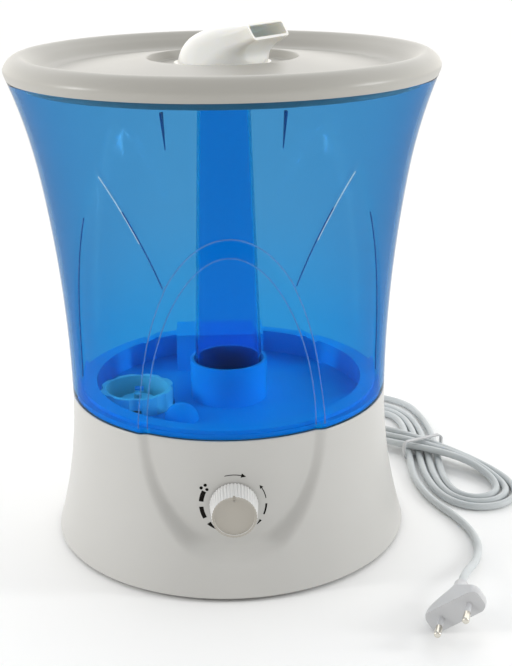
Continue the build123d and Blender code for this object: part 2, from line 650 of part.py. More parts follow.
with BuildPart() as cap_gasket:
    disc(NECK_R, cap_floor_z, NECK_Z, CAP_X, CAP_Y)
    disc(NECK_R - NECK_WALL, cap_floor_z - 1.0, NECK_Z + 1.0, CAP_X, CAP_Y, mode=Mode.SUBTRACT)
save(cap_gasket, "cap_gasket")

# Valve stem, seal and spring
seal_z = cap_floor_z + SEAL_LIFT + 0.05
with BuildPart() as valve_stem:
    disc(STEM_R, STEM_Z, STEM_TOP_Z, CAP_X, CAP_Y)
    disc(7.0, seal_z + 2.0, seal_z + 3.2, CAP_X, CAP_Y)
save(valve_stem, "valve_stem")

with BuildPart() as valve_seal:
    disc(8.4, seal_z, seal_z + 2.0, CAP_X, CAP_Y)
    disc(STEM_R, seal_z - 1.0, seal_z + 3.0, CAP_X, CAP_Y, mode=Mode.SUBTRACT)
save(valve_seal, "valve_seal")

spring_low_z = seal_z + 3.2
spring_high_z = CAGE_TOP_Z - 2.0
spring_lead = (spring_high_z - spring_low_z - 2.0 * SPRING_WIRE_R) / SPRING_TURNS
with BuildPart() as valve_spring:
    with BuildLine() as spring_line:
        Helix(
            spring_lead,
            spring_lead * SPRING_TURNS,
            SPRING_R,
            center=(CAP_X, CAP_Y, spring_low_z + SPRING_WIRE_R),
        )
    with BuildSketch(Plane(origin=spring_line.line @ 0, z_dir=spring_line.line % 0)):
        Circle(SPRING_WIRE_R)
    sweep(path=spring_line.line)
save(valve_spring, "valve_spring")

# Lid with rim, valley, cone and well
with BuildPart() as lid:
    with BuildSketch(Plane.XZ):
        with BuildLine():
            rim = Spline(
                (TANK_TOP_R, TANK_TOP_Z),
                (TANK_TOP_R + 1.3, TANK_TOP_Z + 5.5),
                (TANK_TOP_R - 2.6, LID_CREST_Z - 2.0),
                (TANK_TOP_R - 8.5, LID_CREST_Z),
                (TANK_TOP_R - 15.0, LID_CREST_Z - 4.0),
                (LID_VALLEY_R + 4.0, LID_VALLEY_Z + 1.4),
                (LID_VALLEY_R - 1.0, LID_VALLEY_Z),
                tangents=((0.15, 1.0), (-1.0, 0.1)),
            )
            Polyline(
                rim @ 1,
                (LIP_R, LIP_Z),
                (LIP_R - 2.0, WELL_FLOOR_Z),
                (NOZZLE_HOLE_R, WELL_FLOOR_Z),
                (NOZZLE_HOLE_R, WELL_FLOOR_Z - 2.4),
                (LIP_R + 0.4, WELL_FLOOR_Z - 2.4),
                (LIP_R + 2.2, LIP_Z - 2.7),
                (LID_VALLEY_R, LID_VALLEY_Z - 2.5),
                (LID_VALLEY_R + 7.0, LID_VALLEY_Z - 0.2),
                (TANK_TOP_R - 12.0, LID_CREST_Z - 4.8),
                (TANK_TOP_R - 8.0, LID_CREST_Z - 2.6),
                (TANK_TOP_R - 3.4, LID_CREST_Z - 5.0),
                (TANK_TOP_R - TANK_WALL, TANK_TOP_Z),
                (TANK_TOP_R, TANK_TOP_Z),
            )
        make_face()
    revolve(axis=Axis.Z)
    skirt_z = TANK_TOP_Z - SKIRT_L
    with BuildSketch(Plane.XZ):
        with Locations((TANK_TOP_R - 8.6, skirt_z)):
            Rectangle(2.2, LID_CREST_Z - 2.8 - skirt_z, align=(Align.CENTER, Align.MIN))
        with Locations((NOZZLE_HOLE_R + 2.0, skirt_z)):
            Rectangle(2.0, WELL_FLOOR_Z - 1.0 - skirt_z, align=(Align.CENTER, Align.MIN))
    revolve(axis=Axis.Z)
save(lid, "lid")

# Mist nozzle with its slanted mouth
nozzle_dir = (math.cos(math.radians(NOZZLE_TURN)), math.sin(math.radians(NOZZLE_TURN)))
nozzle_side = (-nozzle_dir[1], nozzle_dir[0], 0.0)
flange_z = WELL_FLOOR_Z + 2.0


def nozzle_plane(reach, z, tilt, ahead=0.0):
    lean = math.radians(tilt)
    normal = (nozzle_dir[0] * math.sin(lean), nozzle_dir[1] * math.sin(lean), math.cos(lean))
    spot = (nozzle_dir[0] * reach, nozzle_dir[1] * reach, z)
    origin = tuple(spot[i] + ahead * normal[i] for i in range(3))
    return Plane(origin=origin, x_dir=nozzle_side, z_dir=normal)


with BuildPart() as nozzle:
    with BuildSketch(nozzle_plane(0.0, flange_z, 0.0)):
        RectangleRounded(54.0, 54.0, 26.6)
    with BuildSketch(nozzle_plane(4.5, flange_z + 8.0, 14.0)):
        RectangleRounded(47.0, 45.0, 18.0)
    with BuildSketch(nozzle_plane(17.0, flange_z + 14.5, 38.0)):
        RectangleRounded(40.0, 23.0, 8.0)
    with BuildSketch(nozzle_plane(MOUTH_REACH, MOUTH_Z, MOUTH_TILT)):
        RectangleRounded(MOUTH_W, MOUTH_H, 2.4)
    loft()
    disc(NOZZLE_FLANGE_R, WELL_FLOOR_Z, flange_z)
    thin = 2.0 * NOZZLE_WALL
    with BuildSketch(nozzle_plane(0.0, flange_z, 0.0)):
        RectangleRounded(54.0 - thin, 54.0 - thin, 24.6)
    with BuildSketch(nozzle_plane(4.5, flange_z + 7.0, 14.0)):
        RectangleRounded(47.0 - thin, 45.0 - thin, 16.0)
    with BuildSketch(nozzle_plane(17.0, flange_z + 14.0, 38.0)):
        RectangleRounded(40.0 - thin, 23.0 - thin, 6.0)
    with BuildSketch(nozzle_plane(MOUTH_REACH, MOUTH_Z, MOUTH_TILT, 0.8)):
        RectangleRounded(MOUTH_W - 3.0, MOUTH_H - 3.0, 1.4)
    loft(mode=Mode.SUBTRACT)
    disc(NOZZLE_HOLE_R - 0.4, TANK_TOP_Z - 0.2, WELL_FLOOR_Z + 0.5)
    disc(NOZZLE_HOLE_R - 2.4, TANK_TOP_Z - 1.0, flange_z + 1.0, mode=Mode.SUBTRACT)
save(nozzle, "nozzle")

# Cord gland
gland_start_r = 99.0
gland_start = (gland_dir[0] * gland_start_r, gland_dir[1] * gland_start_r, GLAND_Z)
gland_plane = Plane(origin=gland_start, z_dir=gland_dir)
with BuildPart() as cord_gland:
    with BuildSketch(gland_plane):
        Circle(5.0)
    extrude(amount=gland_pad_r - gland_start_r)
    with BuildSketch(gland_plane.offset(gland_pad_r - gland_start_r)):
        Circle(7.5)
    extrude(amount=3.0)
    with BuildSketch(gland_plane.offset(gland_pad_r - gland_start_r + 3.0)):
        Circle(5.4)
    extrude(amount=GLAND_TIP_R - gland_pad_r - 3.0, taper=6.0)
save(cord_gland, "cord_gland")

# Cord routes
hank_e = Vector(math.cos(math.radians(HANK_AXIS)), math.sin(math.radians(HANK_AXIS)), 0.0)
hank_n = Vector(-hank_e.Y, hank_e.X, 0.0)
hank_ratio = math.tan(math.radians(HANK_SPREAD))
hank_step = HANK_PITCH / math.sin(math.radians(HANK_SPREAD))


def smooth(value):
    value = min(1.0, max(0.0, value))
    return value * value * (3.0 - 2.0 * value)


def hank_point(degrees):
    # Point of the figure-of-eight hank at a running angle from 270 degrees on
    angle = math.radians(degrees)
    turn = (degrees - 270.0) / 360.0
    lobe = int(min(HANK_TURNS - 1, max(0, math.floor(turn))))
    front = math.cos(angle) >= 0.0
    size = HANK_FRONT + HANK_FRONT_GROWTH * lobe if front else HANK_BACK + HANK_BACK_GROWTH * lobe
    along = hank_step * (HANK_TURNS / 2.0 - turn) + size * math.cos(angle)
    across = 0.5 * hank_ratio * size * math.sin(2.0 * angle)
    reach = abs(size * math.cos(angle)) / math.cos(math.radians(HANK_SPREAD))
    near_tie = 1.0 - smooth((reach - 20.0) / 52.0)
    upper = math.sin(angle) > 0.0
    height = CORD_Z + near_tie * (TIE_LIFT + (HANK_LIFT if upper else 0.0))
    spot = hank_e * along + hank_n * across
    return Vector(TIE_X + spot.X, TIE_Y + spot.Y, height)


def hank_tangent(degrees):
    return (hank_point(degrees + 0.05) - hank_point(degrees - 0.05)).normalized()


def biarc(start, start_dir, end, end_dir):
    # Joint point and direction of two tangent arcs between two points
    chord = end - start
    both = start_dir + end_dir
    gap = 2.0 * (1.0 - start_dir.dot(end_dir))
    lean = chord.dot(both)
    if gap < 1e-9:
        reach = chord.dot(chord) / (2.0 * lean)
    else:
        reach = (math.sqrt(lean * lean + gap * chord.dot(chord)) - lean) / gap
    first = start + start_dir * reach
    second = end - end_dir * reach
    return (first + second) * 0.5, (second - first).normalized()


def tangent_arc(start, direction, end):
    # Arc, or a straight line where the arc would be flat
    if (end - start).normalized().cross(direction).length < 1e-5:
        Line(start, end)
    else:
        TangentArc(start, end, tangent=direction)


hank_first = 270.0
hank_last = 270.0 + 360.0 * HANK_TURNS
hank_count = int(round((hank_last - hank_first) / HANK_STOP))
with BuildPart() as cord_hank:
    with BuildLine() as hank_line:
        for stop in range(hank_count):
            start_angle = hank_first + HANK_STOP * stop
            p_start = hank_point(start_angle)
            p_end = hank_point(start_angle + HANK_STOP)
            d_start = hank_tangent(start_angle)
            d_end = hank_tangent(start_angle + HANK_STOP)
            p_mid, d_mid = biarc(p_start, d_start, p_end, d_end)
            tangent_arc(p_start, d_start, p_mid)
            tangent_arc(p_mid, d_mid, p_end)
    hank_wire = hank_line.wire()
    with BuildSketch(Plane(origin=hank_point(hank_first), z_dir=hank_tangent(hank_first))):
        Circle(CORD_R)
    sweep(path=hank_wire)
save(cord_hank, "cord_hank")


def smooth_route(points, limp):
    # Radii for straight runs with tangent arcs, printed with the tightest bend
    radii = []
    for i in range(1, len(points) - 1):
        before = Vector(points[i]) - Vector(points[i - 1])
        after = Vector(points[i + 1]) - Vector(points[i])
        turn = before.get_angle(after)
        radii.append(0.45 * min(before.length, after.length) / math.tan(math.radians(turn) / 2.0))
    print("bend radii", [round(r, 1) for r in radii], "least allowed", limp)
    return radii


# Lead from the gland round to the hank
hank_in = hank_point(hank_first)
hank_in_dir = hank_tangent(hank_first)
gland_tip = Vector(gland_dir[0] * GLAND_TIP_R, gland_dir[1] * GLAND_TIP_R, GLAND_Z)
gland_out = Vector(gland_dir[0], gland_dir[1], 0.0)
lead_join = hank_in - hank_in_dir * 46.0
LEAD_POINTS = [
    gland_tip,
    gland_tip + gland_out * 18.0,
    (59.0, 160.0, 15.0),
    (70.0, 184.0, 4.2),
    (96.0, 199.0, CORD_Z),
    (127.0, 197.0, CORD_Z),
    (150.0, 178.0, CORD_Z),
    (157.0, 148.0, CORD_Z),
    lead_join,
    hank_in,
]
with BuildPart() as cord_lead:
    with BuildLine() as lead_line:
        FilletPolyline(*LEAD_POINTS, radius=smooth_route(LEAD_POINTS, 5.0 * CORD_R))
    with BuildSketch(Plane(origin=gland_tip, z_dir=gland_out)):
        Circle(CORD_R)
    sweep(path=lead_line.wire())
save(cord_lead, "cord_lead")

# Plug: face frame, body, sleeves and pins
plug_face = Vector(*PLUG_FACE)
plug_dir = Vector(-0.30, -0.95, 0.05).normalized()
plug_flat = Vector(0.0, 0.0, 1.0).cross(plug_dir).normalized()
plug_rise = plug_dir.cross(plug_flat)
plug_long = plug_flat * math.cos(math.radians(PLUG_ROLL)) + plug_rise * math.sin(math.radians(PLUG_ROLL))
plug_plane = Plane(origin=plug_face, x_dir=plug_long, z_dir=plug_dir)

with BuildPart() as plug_body:
    with BuildSketch(plug_plane):
        RectangleRounded(PLUG_W, PLUG_T, 4.6)
    with BuildSketch(plug_plane.offset(-9.0)):
        RectangleRounded(PLUG_W - 1.6, PLUG_T - 0.6, 4.4)
    with BuildSketch(plug_plane.offset(-20.0)):
        RectangleRounded(15.0, 11.4, 4.2)
    with BuildSketch(plug_plane.offset(-PLUG_NECK_L)):
        RectangleRounded(8.0, 8.0, 3.8)
    loft()
save(plug_body, "plug_body")

with BuildPart() as plug_sleeves:
    for side in (-0.5, 0.5):
        with BuildSketch(plug_plane):
            with Locations((side * PIN_SPACING, 0.0)):
                Circle(SLEEVE_R)
                Circle(PIN_CORE_R, mode=Mode.SUBTRACT)
        extrude(amount=SLEEVE_L)
save(plug_sleeves, "plug_sleeves")

with BuildPart() as plug_pins:
    for side in (-0.5, 0.5):
        with BuildSketch(plug_plane):
            with Locations((side * PIN_SPACING, 0.0)):
                Circle(PIN_CORE_R)
        extrude(amount=SLEEVE_L + 0.5)
        with BuildSketch(plug_plane.offset(SLEEVE_L)):
            with Locations((side * PIN_SPACING, 0.0)):
                Circle(PIN_R)
        extrude(amount=PIN_L - SLEEVE_L)
    tip_edges = plug_pins.edges().filter_by(GeomType.CIRCLE).sort_by(Axis(plug_face, plug_dir))[-2:]
    fillet(tip_edges, 1.2)
save(plug_pins, "plug_pins")

# Tail from the hank to the plug
hank_out = hank_point(hank_last)
hank_out_dir = hank_tangent(hank_last)
plug_neck = plug_face - plug_dir * PLUG_NECK_L
TAIL_POINTS = [
    hank_out,
    hank_out + hank_out_dir * 34.0,
    (132.5, 37.0, CORD_Z),
    (139.0, 4.0, CORD_Z),
    (153.0, -24.0, CORD_Z),
    (159.5, -52.0, CORD_Z),
    (153.0, -82.0, 4.6),
    plug_neck - plug_dir * 15.0,
    plug_neck,
]
with BuildPart() as cord_tail:
    with BuildLine() as tail_line:
        FilletPolyline(*TAIL_POINTS, radius=smooth_route(TAIL_POINTS, 5.0 * CORD_R))
    with BuildSketch(Plane(origin=hank_out, z_dir=hank_out_dir)):
        Circle(CORD_R)
    sweep(path=tail_line.wire())
save(cord_tail, "cord_tail")

# Tie round the waist of the hank
tie_reach = HANK_TURNS / 2.0 * hank_step + TIE_W / 2.0
tie_half = tie_reach * hank_ratio + CORD_R / math.cos(math.radians(HANK_SPREAD)) + TIE_GAP
tie_low = 0.1
tie_high = CORD_Z + TIE_LIFT + HANK_LIFT + CORD_R + 1.6
tie_plane = Plane(origin=(TIE_X, TIE_Y, 0.0), x_dir=hank_n, z_dir=hank_e)
with BuildPart() as cord_tie:
    with BuildSketch(tie_plane.offset(-TIE_W / 2.0)):
        with Locations((0.0, (tie_low + tie_high) / 2.0)):
            RectangleRounded(2.0 * tie_half + 2.0 * TIE_T, tie_high - tie_low, 4.0)
            RectangleRounded(2.0 * tie_half, tie_high - tie_low - 2.0 * TIE_T, 3.0, mode=Mode.SUBTRACT)
    extrude(amount=TIE_W)
save(cord_tie, "cord_tie")

# Least gap of the cord to itself, measured on points
cord_points = []
cord_length = 0.0
for run_wire in (lead_line.wire(), hank_wire, tail_line.wire()):
    run_count = int(run_wire.length / 1.5)
    for i in range(run_count):
        share = i / run_count
        cord_points.append((cord_length + share * run_wire.length, run_wire.position_at(share)))
    cord_length += run_wire.length
least_gap = 1000.0
for i in range(len(cord_points)):
    for j in range(i + 1, len(cord_points)):
        if cord_points[j][0] - cord_points[i][0] < 30.0:
            continue
        dx = cord_points[j][1].X - cord_points[i][1].X
        dy = cord_points[j][1].Y - cord_points[i][1].Y
        if abs(dx) > 9.0 or abs(dy) > 9.0:
            continue
        dz = cord_points[j][1].Z - cord_points[i][1].Z
        least_gap = min(least_gap, math.sqrt(dx * dx + dy * dy + dz * dz) - 2.0 * CORD_R)
print("least gap of the cord to itself", round(least_gap, 2))
print("cord length", round(cord_length, 1))
for run_name, run_part, run_wire in (
    ("lead", cord_lead.part, lead_line.wire()),
    ("hank", cord_hank.part, hank_wire),
    ("tail", cord_tail.part, tail_line.wire()),
):
    full_volume = math.pi * CORD_R * CORD_R * run_wire.length
    print(run_name, "length", round(run_wire.length, 1))
    print(run_name, "volume share", round(run_part.volume / full_volume, 4))
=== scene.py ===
import math

import bmesh
import bpy
from mathutils import Matrix, Vector


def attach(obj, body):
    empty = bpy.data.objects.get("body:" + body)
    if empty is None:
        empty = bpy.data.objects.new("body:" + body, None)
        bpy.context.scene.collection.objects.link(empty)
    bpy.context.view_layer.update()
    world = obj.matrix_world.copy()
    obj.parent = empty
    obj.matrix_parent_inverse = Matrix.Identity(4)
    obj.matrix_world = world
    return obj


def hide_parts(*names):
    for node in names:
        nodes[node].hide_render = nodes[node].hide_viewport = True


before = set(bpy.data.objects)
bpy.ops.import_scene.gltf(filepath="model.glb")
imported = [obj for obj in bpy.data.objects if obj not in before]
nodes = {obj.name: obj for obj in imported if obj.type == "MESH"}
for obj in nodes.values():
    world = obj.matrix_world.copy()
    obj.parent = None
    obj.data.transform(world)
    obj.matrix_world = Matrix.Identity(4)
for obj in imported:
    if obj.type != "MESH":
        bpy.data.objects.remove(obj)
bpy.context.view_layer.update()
MM = 0.001

# Sizes of the part, in millimetres, that the source of the solids has too
WAIST_R = 102.1
FOOT_R = 116.0
BASE_Z = 2.5
SEAM_Z = 98.0
TANK_MID = (114.0, 240.0)
TANK_TOP = (130.0, 299.0)
HOUSING_WALL = 2.8
TANK_WALL = 2.6
PANEL_R = WAIST_R - 2.7
FRONT_PETAL = 38.0
BACK_PETAL = 142.0
PETAL_ANGLES = (-BACK_PETAL, -FRONT_PETAL, FRONT_PETAL, BACK_PETAL)
PETAL_HALF_W = 43.0
PETAL_SPRING_Z = 120.0
PETAL_TOP_Z = 258.0
PETAL_FOOT_Z = 104.0
BASIN_LIP_R = 95.8
PAN_R = 88.6
PAN_FLANGE_Z = 101.0
KNOB_Z = 57.0
LID_CREST_Z = 312.0
LID_VALLEY = (105.0, 301.4)
LIP = (46.0, 308.4)
WELL_FLOOR_Z = 303.0
NOZZLE_HOLE_R = 21.0
SKIRT_Z = TANK_TOP[1] - 4.5

# Sizes of the scene's own meshes, in millimetres; panel and petals have softer edges here
ARCH_OUTER = (55.5, 125.0)
ARCH_INNER = (51.5, 111.0)
SHELF_OUTER = (57.0, 80.0)
SHELF_INNER = (49.0, 66.0)
WALL_COUNT = 600
WALL_SHARP = 50.0
TANK_STEP = 1.8
HOUSING_STEP = 1.5
FRONT_COSINE = 0.2
PANEL_ROUNDS = 4
PETAL_DEPTH = 1.8
PETAL_EDGE = 6.0
PETAL_FADE = 30.0
SEAM_EDGE = 0.5
RIM_EDGE = 0.4
RING_GAP = 0.05
PAN_GAP = 0.4
FOOT_EDGE = 0.6
SHOULDER_Z = 0.9
SHOULDER_EDGE = 0.3
LIP_GAP = 0.2
LIP_SEAT = 2.0
LEDGE_R = 92.3
LEDGE_LOW = 3.0
INNER_TOP = 3.2
BOSS_BORE_R = 5.1
BOSS_R = 9.0
BOSS_DEPTH = 10.0
BOSS_EDGE = 0.8
BOSS_FACE_R = 113.5
BOSS_COUNT = 64
LID_COUNT = 320
LID_EDGE = 1.0
LID_STEPS = 10
SLOPE_STEPS = 12
ROUND_STEPS = 4
CREASE_R = 0.4
CREASE_STEP = 1.0
CREASE_PITCH = 2.0
ARCH_STEPS = 42
ARCH_STEP_DEG = 2.1
PETAL_LOW_Z = 121.0
RIB_BITE = 0.2
RIB_ENDS = ((273.0, 0.15, 0.8), (293.5, 0.45, 4.0))  # height, half width, depth
RIB_ANGLES = (("left", -16.0), ("right", 14.3))
MARK_R = 19.5
MARK_PROUD = 0.06
MARK_TIP = 0.05
MARK_STEPS = 12
HEAD_STEPS = 4
DROP_SPOTS = ((22.0, -60.7), (21.0, -52.9), (18.6, -58.0))  # radius, degrees
DROP_SWELL = 0.95
DROP_SPAN = 6.0
DROP_STEPS = 8

# Cord route, in millimetres
CORD_R = 2.5
CORD_Z = CORD_R + 0.15
GLAND_ANGLE = 68.0
GLAND_Z = 24.0
GLAND_TIP_R = 128.0
GLAND_RUN = 18.0
TIE = (146.0, 83.0)
TIE_LIFT = 1.3
TIE_REACH = 20.0
TIE_FALL = 52.0
HANK_AXIS = -66.0
HANK_SPREAD = 28.5
HANK_TURNS = 3
HANK_PITCH = 2.0 * CORD_R + 1.8
HANK_FRONT = (65.0, 22.0)
HANK_BACK = (113.0, -23.0)
HANK_LIFT = 2.0 * CORD_R + 1.8
HANK_STOP = 22.5
HANK_FIRST = 270.0
HANK_LAST = HANK_FIRST + 360.0 * HANK_TURNS
HANK_LEAD = 46.0
HANK_TAIL = 34.0
PLUG_FACE = Vector((123.2, -156.7, 14.65))
PLUG_DIR = Vector((-0.30, -0.95, 0.05)).normalized()
PLUG_NECK_L = 33.0
PLUG_RUN = 15.0

# Looks
PLASTIC_IOR = 1.46
GRAIN_SCALE = 260.0
GRAIN_STRENGTH = 0.25
GRAIN_DEPTH = 0.00002
POLISH_SCALE = 12.0
STREAK_SCALE = 160.0
CLEAR_CLOUD_SCALE = 7.0
CLEAR_POLISH_SCALE = 30.0
WAVE_SCALE = 18.0
WAVE_STRENGTH = 0.12
WAVE_DEPTH = 0.0006
COAT_ROUGH = 0.04
GLOW_COLOURS = (1.0, 0.85, 0.6)
MARK_SHINE = 0.1

# Camera and light
YAW = math.radians(2.2)
PITCH = math.radians(19.243)
ROLL = math.radians(0.679)
CAMERA_SPOT = (-0.01072, -0.75388, 0.39357)
CAMERA_LENS = 66.13
CAMERA_SENSOR = 36.0
FLOOR_HALF = 6.0
SKY_ROUND = (0.68, 1.7, -0.6, 0.6)  # strength in front and behind, and where it changes
SKY_TOP = (1.0, 0.6, 0.75, 0.95)  # share low and overhead, and where it changes
SKY_LOW = (1.0, 0.97, 0.91)
SKY_HIGH = (1.0, 1.0, 1.0)
SKY_TONE_END = 0.6
LAMP_SPOT = (1.3, -0.3, 0.55)
LAMP_TARGET = Vector((0.0, 0.0, 0.25))
LAMP_SIZE = (0.12, 0.45)
LAMP_POWER = 5.0
LAMPS = (("left", -1.0, (1.0, 1.0, 1.0)), ("right", 1.0, (0.97, 0.99, 1.0)))


def smooth(value):
    value = min(1.0, max(0.0, value))
    return value * value * (3.0 - 2.0 * value)


def mix(a, b, share):
    return a + (b - a) * share


# Materials
def material(name):
    made = bpy.data.materials.new(name)
    made.use_nodes = True
    tree = made.node_tree
    return made, tree, tree.nodes["Principled BSDF"]


def noise(tree, scale, detail, rough=0.5, stretch=(1.0, 1.0, 1.0)):
    coords = tree.nodes.new("ShaderNodeTexCoord")
    mapping = tree.nodes.new("ShaderNodeMapping")
    mapping.inputs["Scale"].default_value = stretch
    made = tree.nodes.new("ShaderNodeTexNoise")
    made.inputs["Scale"].default_value = scale
    made.inputs["Detail"].default_value = detail
    made.inputs["Roughness"].default_value = rough
    tree.links.new(coords.outputs["Object"], mapping.inputs["Vector"])
    tree.links.new(mapping.outputs["Vector"], made.inputs["Vector"])
    return made


def ramp(tree, source, low, high, start=0.3, end=0.7):
    made = tree.nodes.new("ShaderNodeValToRGB")
    made.color_ramp.elements[0].position = start
    made.color_ramp.elements[0].color = (*low, 1.0)
    made.color_ramp.elements[1].position = end
    made.color_ramp.elements[1].color = (*high, 1.0)
    tree.links.new(source, made.inputs["Fac"])
    return made


def spread(tree, source, low, high, start=0.25, end=0.75):
    made = tree.nodes.new("ShaderNodeMapRange")
    made.inputs["From Min"].default_value = start
    made.inputs["From Max"].default_value = end
    made.inputs["To Min"].default_value = low
    made.inputs["To Max"].default_value = high
    tree.links.new(source, made.inputs["Value"])
    return made


def dress(tree, shader, clouds, low, high, polish, rough):
    # Colour and roughness that wander a little over the surface
    colour = ramp(tree, clouds.outputs["Fac"], low, high)
    tree.links.new(colour.outputs["Color"], shader.inputs["Base Color"])
    sheen = spread(tree, polish.outputs["Fac"], *rough)
    tree.links.new(sheen.outputs["Result"], shader.inputs["Roughness"])


def bump(tree, shader, waves, strength, distance):
    made = tree.nodes.new("ShaderNodeBump")
    made.inputs["Strength"].default_value = strength
    made.inputs["Distance"].default_value = distance
    tree.links.new(waves.outputs["Fac"], made.inputs["Height"])
    tree.links.new(made.outputs["Normal"], shader.inputs["Normal"])


def plastic(name, low, high, rough, cloud=9.0):
    made, tree, shader = material(name)
    clouds = noise(tree, cloud, 4.0)
    dress(tree, shader, clouds, low, high, noise(tree, POLISH_SCALE, 2.0), rough)
    bump(tree, shader, noise(tree, GRAIN_SCALE, 2.0), GRAIN_STRENGTH, GRAIN_DEPTH)
    shader.inputs["IOR"].default_value = PLASTIC_IOR
    return made


def metal(name, low, high, rough=(0.18, 0.35), stretch=(1.0, 1.0, 1.0)):
    made, tree, shader = material(name)
    streaks = noise(tree, STREAK_SCALE, 4.0, 0.6, stretch)
    dress(tree, shader, streaks, low, high, streaks, rough)
    shader.inputs["Metallic"].default_value = 1.0
    return made


def clear(name, low, high, rough=(0.02, 0.06), ior=1.2, through=1.0):
    made, tree, shader = material(name)
    clouds = noise(tree, CLEAR_CLOUD_SCALE, 3.0)
    dress(tree, shader, clouds, low, high, noise(tree, CLEAR_POLISH_SCALE, 3.0), rough)
    bump(tree, shader, noise(tree, WAVE_SCALE, 2.0), WAVE_STRENGTH, WAVE_DEPTH)
    shader.inputs["Transmission Weight"].default_value = through
    shader.inputs["IOR"].default_value = ior
    return made


def soak(made, colour, density):
    # Dye inside the plastic, so a long way through it is darker
    tree = made.node_tree
    dye = tree.nodes.new("ShaderNodeVolumeAbsorption")
    dye.inputs["Color"].default_value = (*colour, 1.0)
    dye.inputs["Density"].default_value = density
    tree.links.new(dye.outputs["Volume"], tree.nodes["Material Output"].inputs["Volume"])


def paint_shade_along(made, colour, coordinate, axis, start, end, fade):
    # Painted shade: another colour at one end of a coordinate, gone at the other
    tree = made.node_tree
    shader = tree.nodes["Principled BSDF"]
    plain = shader.inputs["Base Color"].links[0].from_socket
    coords = tree.nodes.new("ShaderNodeTexCoord")
    split = tree.nodes.new("ShaderNodeSeparateXYZ")
    tree.links.new(coords.outputs[coordinate], split.inputs["Vector"])
    share = spread(tree, split.outputs[axis], 0.0, 1.0, start, end)
    share.interpolation_type = fade
    both = tree.nodes.new("ShaderNodeMix")
    both.data_type = "RGBA"
    both.inputs["A"].default_value = (*colour, 1.0)
    tree.links.new(share.outputs["Result"], both.inputs["Factor"])
    tree.links.new(plain, both.inputs["B"])
    tree.links.new(both.outputs["Result"], shader.inputs["Base Color"])


def paint_low_shade(made, low_z, high_z, colour):
    # Painted shade: deeper, darker blue towards the foot of the wall
    paint_shade_along(made, colour, "Object", "Z", low_z * MM, high_z * MM, "SMOOTHSTEP")


def paint_front_shade(made, colour):
    # Painted shade: a darker colour on the faces that look forward
    paint_shade_along(made, colour, "Normal", "Y", -0.9, -0.6, "LINEAR")


def glaze(made, weight):
    # A thin gloss over the plastic
    shader = made.node_tree.nodes["Principled BSDF"]
    shader.inputs["Coat Weight"].default_value = weight
    shader.inputs["Coat Roughness"].default_value = COAT_ROUGH


def glow_through(made, weight, reach):
    # Light that soaks through a thin pale wall
    shader = made.node_tree.nodes["Principled BSDF"]
    shader.inputs["Subsurface Weight"].default_value = weight
    shader.inputs["Subsurface Radius"].default_value = GLOW_COLOURS
    shader.inputs["Subsurface Scale"].default_value = reach


WHITE = plastic("white_gloss_plastic", (0.515, 0.51, 0.49), (0.525, 0.52, 0.50), (0.33, 0.37))
LID_WHITE = plastic(
    "white_lid_plastic", (0.385, 0.375, 0.345), (0.395, 0.385, 0.355), (0.3, 0.36)
)
NOZZLE_WHITE = plastic(
    "white_nozzle_plastic", (0.86, 0.84, 0.79), (0.87, 0.85, 0.80), (0.26, 0.32)
)
glow_through(NOZZLE_WHITE, 0.5, 0.006)
KNOB_WHITE = plastic("white_knob_plastic", (0.72, 0.72, 0.71), (0.73, 0.73, 0.72), (0.34, 0.40))
# Painted shade: the knob's forward faces get a darker, warmer colour than its sides
paint_front_shade(KNOB_WHITE, (0.42, 0.395, 0.35))
BASIN_WHITE = plastic("white_basin_plastic", (0.66, 0.66, 0.65), (0.70, 0.70, 0.69), (0.28, 0.4))
BLUE = clear("blue_tank_plastic", (0.29, 0.59, 0.79), (0.305, 0.605, 0.805), ior=1.04)
soak(BLUE, (0.3, 0.62, 0.80), 150.0)
glaze(BLUE, 0.14)
# Painted shade: the tank wall turns deeper and darker blue towards its foot
paint_low_shade(BLUE, 100.0, 200.0, (0.14, 0.59, 0.87))
DEEP_BLUE = clear("blue_chimney_plastic", (0.003, 0.70, 0.98), (0.006, 0.72, 0.99), (0.06, 0.12))
PAN_BLUE = clear(
    "blue_pan_plastic", (0.001, 0.50, 0.97), (0.002, 0.53, 0.99), (0.12, 0.2), through=0.05
)
# Painted highlight and painted shade: colours of thin lines laid along the tank's creases
CREASE_HIGHLIGHT = clear("blue_crease", (0.55, 0.80, 0.95), (0.60, 0.84, 0.97), (0.1, 0.2), 1.4, 0.3)
CREASE_SHADE = clear(
    "blue_crease_shade", (0.01, 0.09, 0.34), (0.02, 0.11, 0.38), (0.1, 0.2), 1.3, 0.3
)
CREASE_FAINT_HIGHLIGHT = clear(
    "blue_crease_faint_highlight", (0.34, 0.62, 0.84), (0.37, 0.66, 0.87), (0.1, 0.2), 1.25, 0.85
)
CAP_WHITE = plastic("white_cap_plastic", (0.70, 0.90, 0.92), (0.74, 0.92, 0.94), (0.3, 0.42))
PLATE_GREY = plastic("grey_plate_plastic", (0.50, 0.50, 0.49), (0.56, 0.56, 0.55), (0.5, 0.65))
RUBBER_GREY = plastic("grey_rubber", (0.10, 0.10, 0.105), (0.15, 0.15, 0.155), (0.7, 0.85))
RUBBER_BLACK = plastic(
    "black_rubber", (0.012, 0.012, 0.013), (0.025, 0.025, 0.026), (0.65, 0.8)
)
BOARD_GREEN = plastic(
    "green_board", (0.010, 0.085, 0.035), (0.020, 0.12, 0.05), (0.3, 0.45), cloud=60.0
)
PART_BLACK = plastic("black_parts", (0.010, 0.010, 0.011), (0.028, 0.028, 0.03), (0.35, 0.5))
DUCT_WHITE = plastic("white_duct_plastic", (0.55, 0.55, 0.54), (0.60, 0.60, 0.59), (0.45, 0.6))
FLOAT_WHITE = plastic("white_float_plastic", (0.66, 0.67, 0.67), (0.72, 0.73, 0.73), (0.45, 0.6))
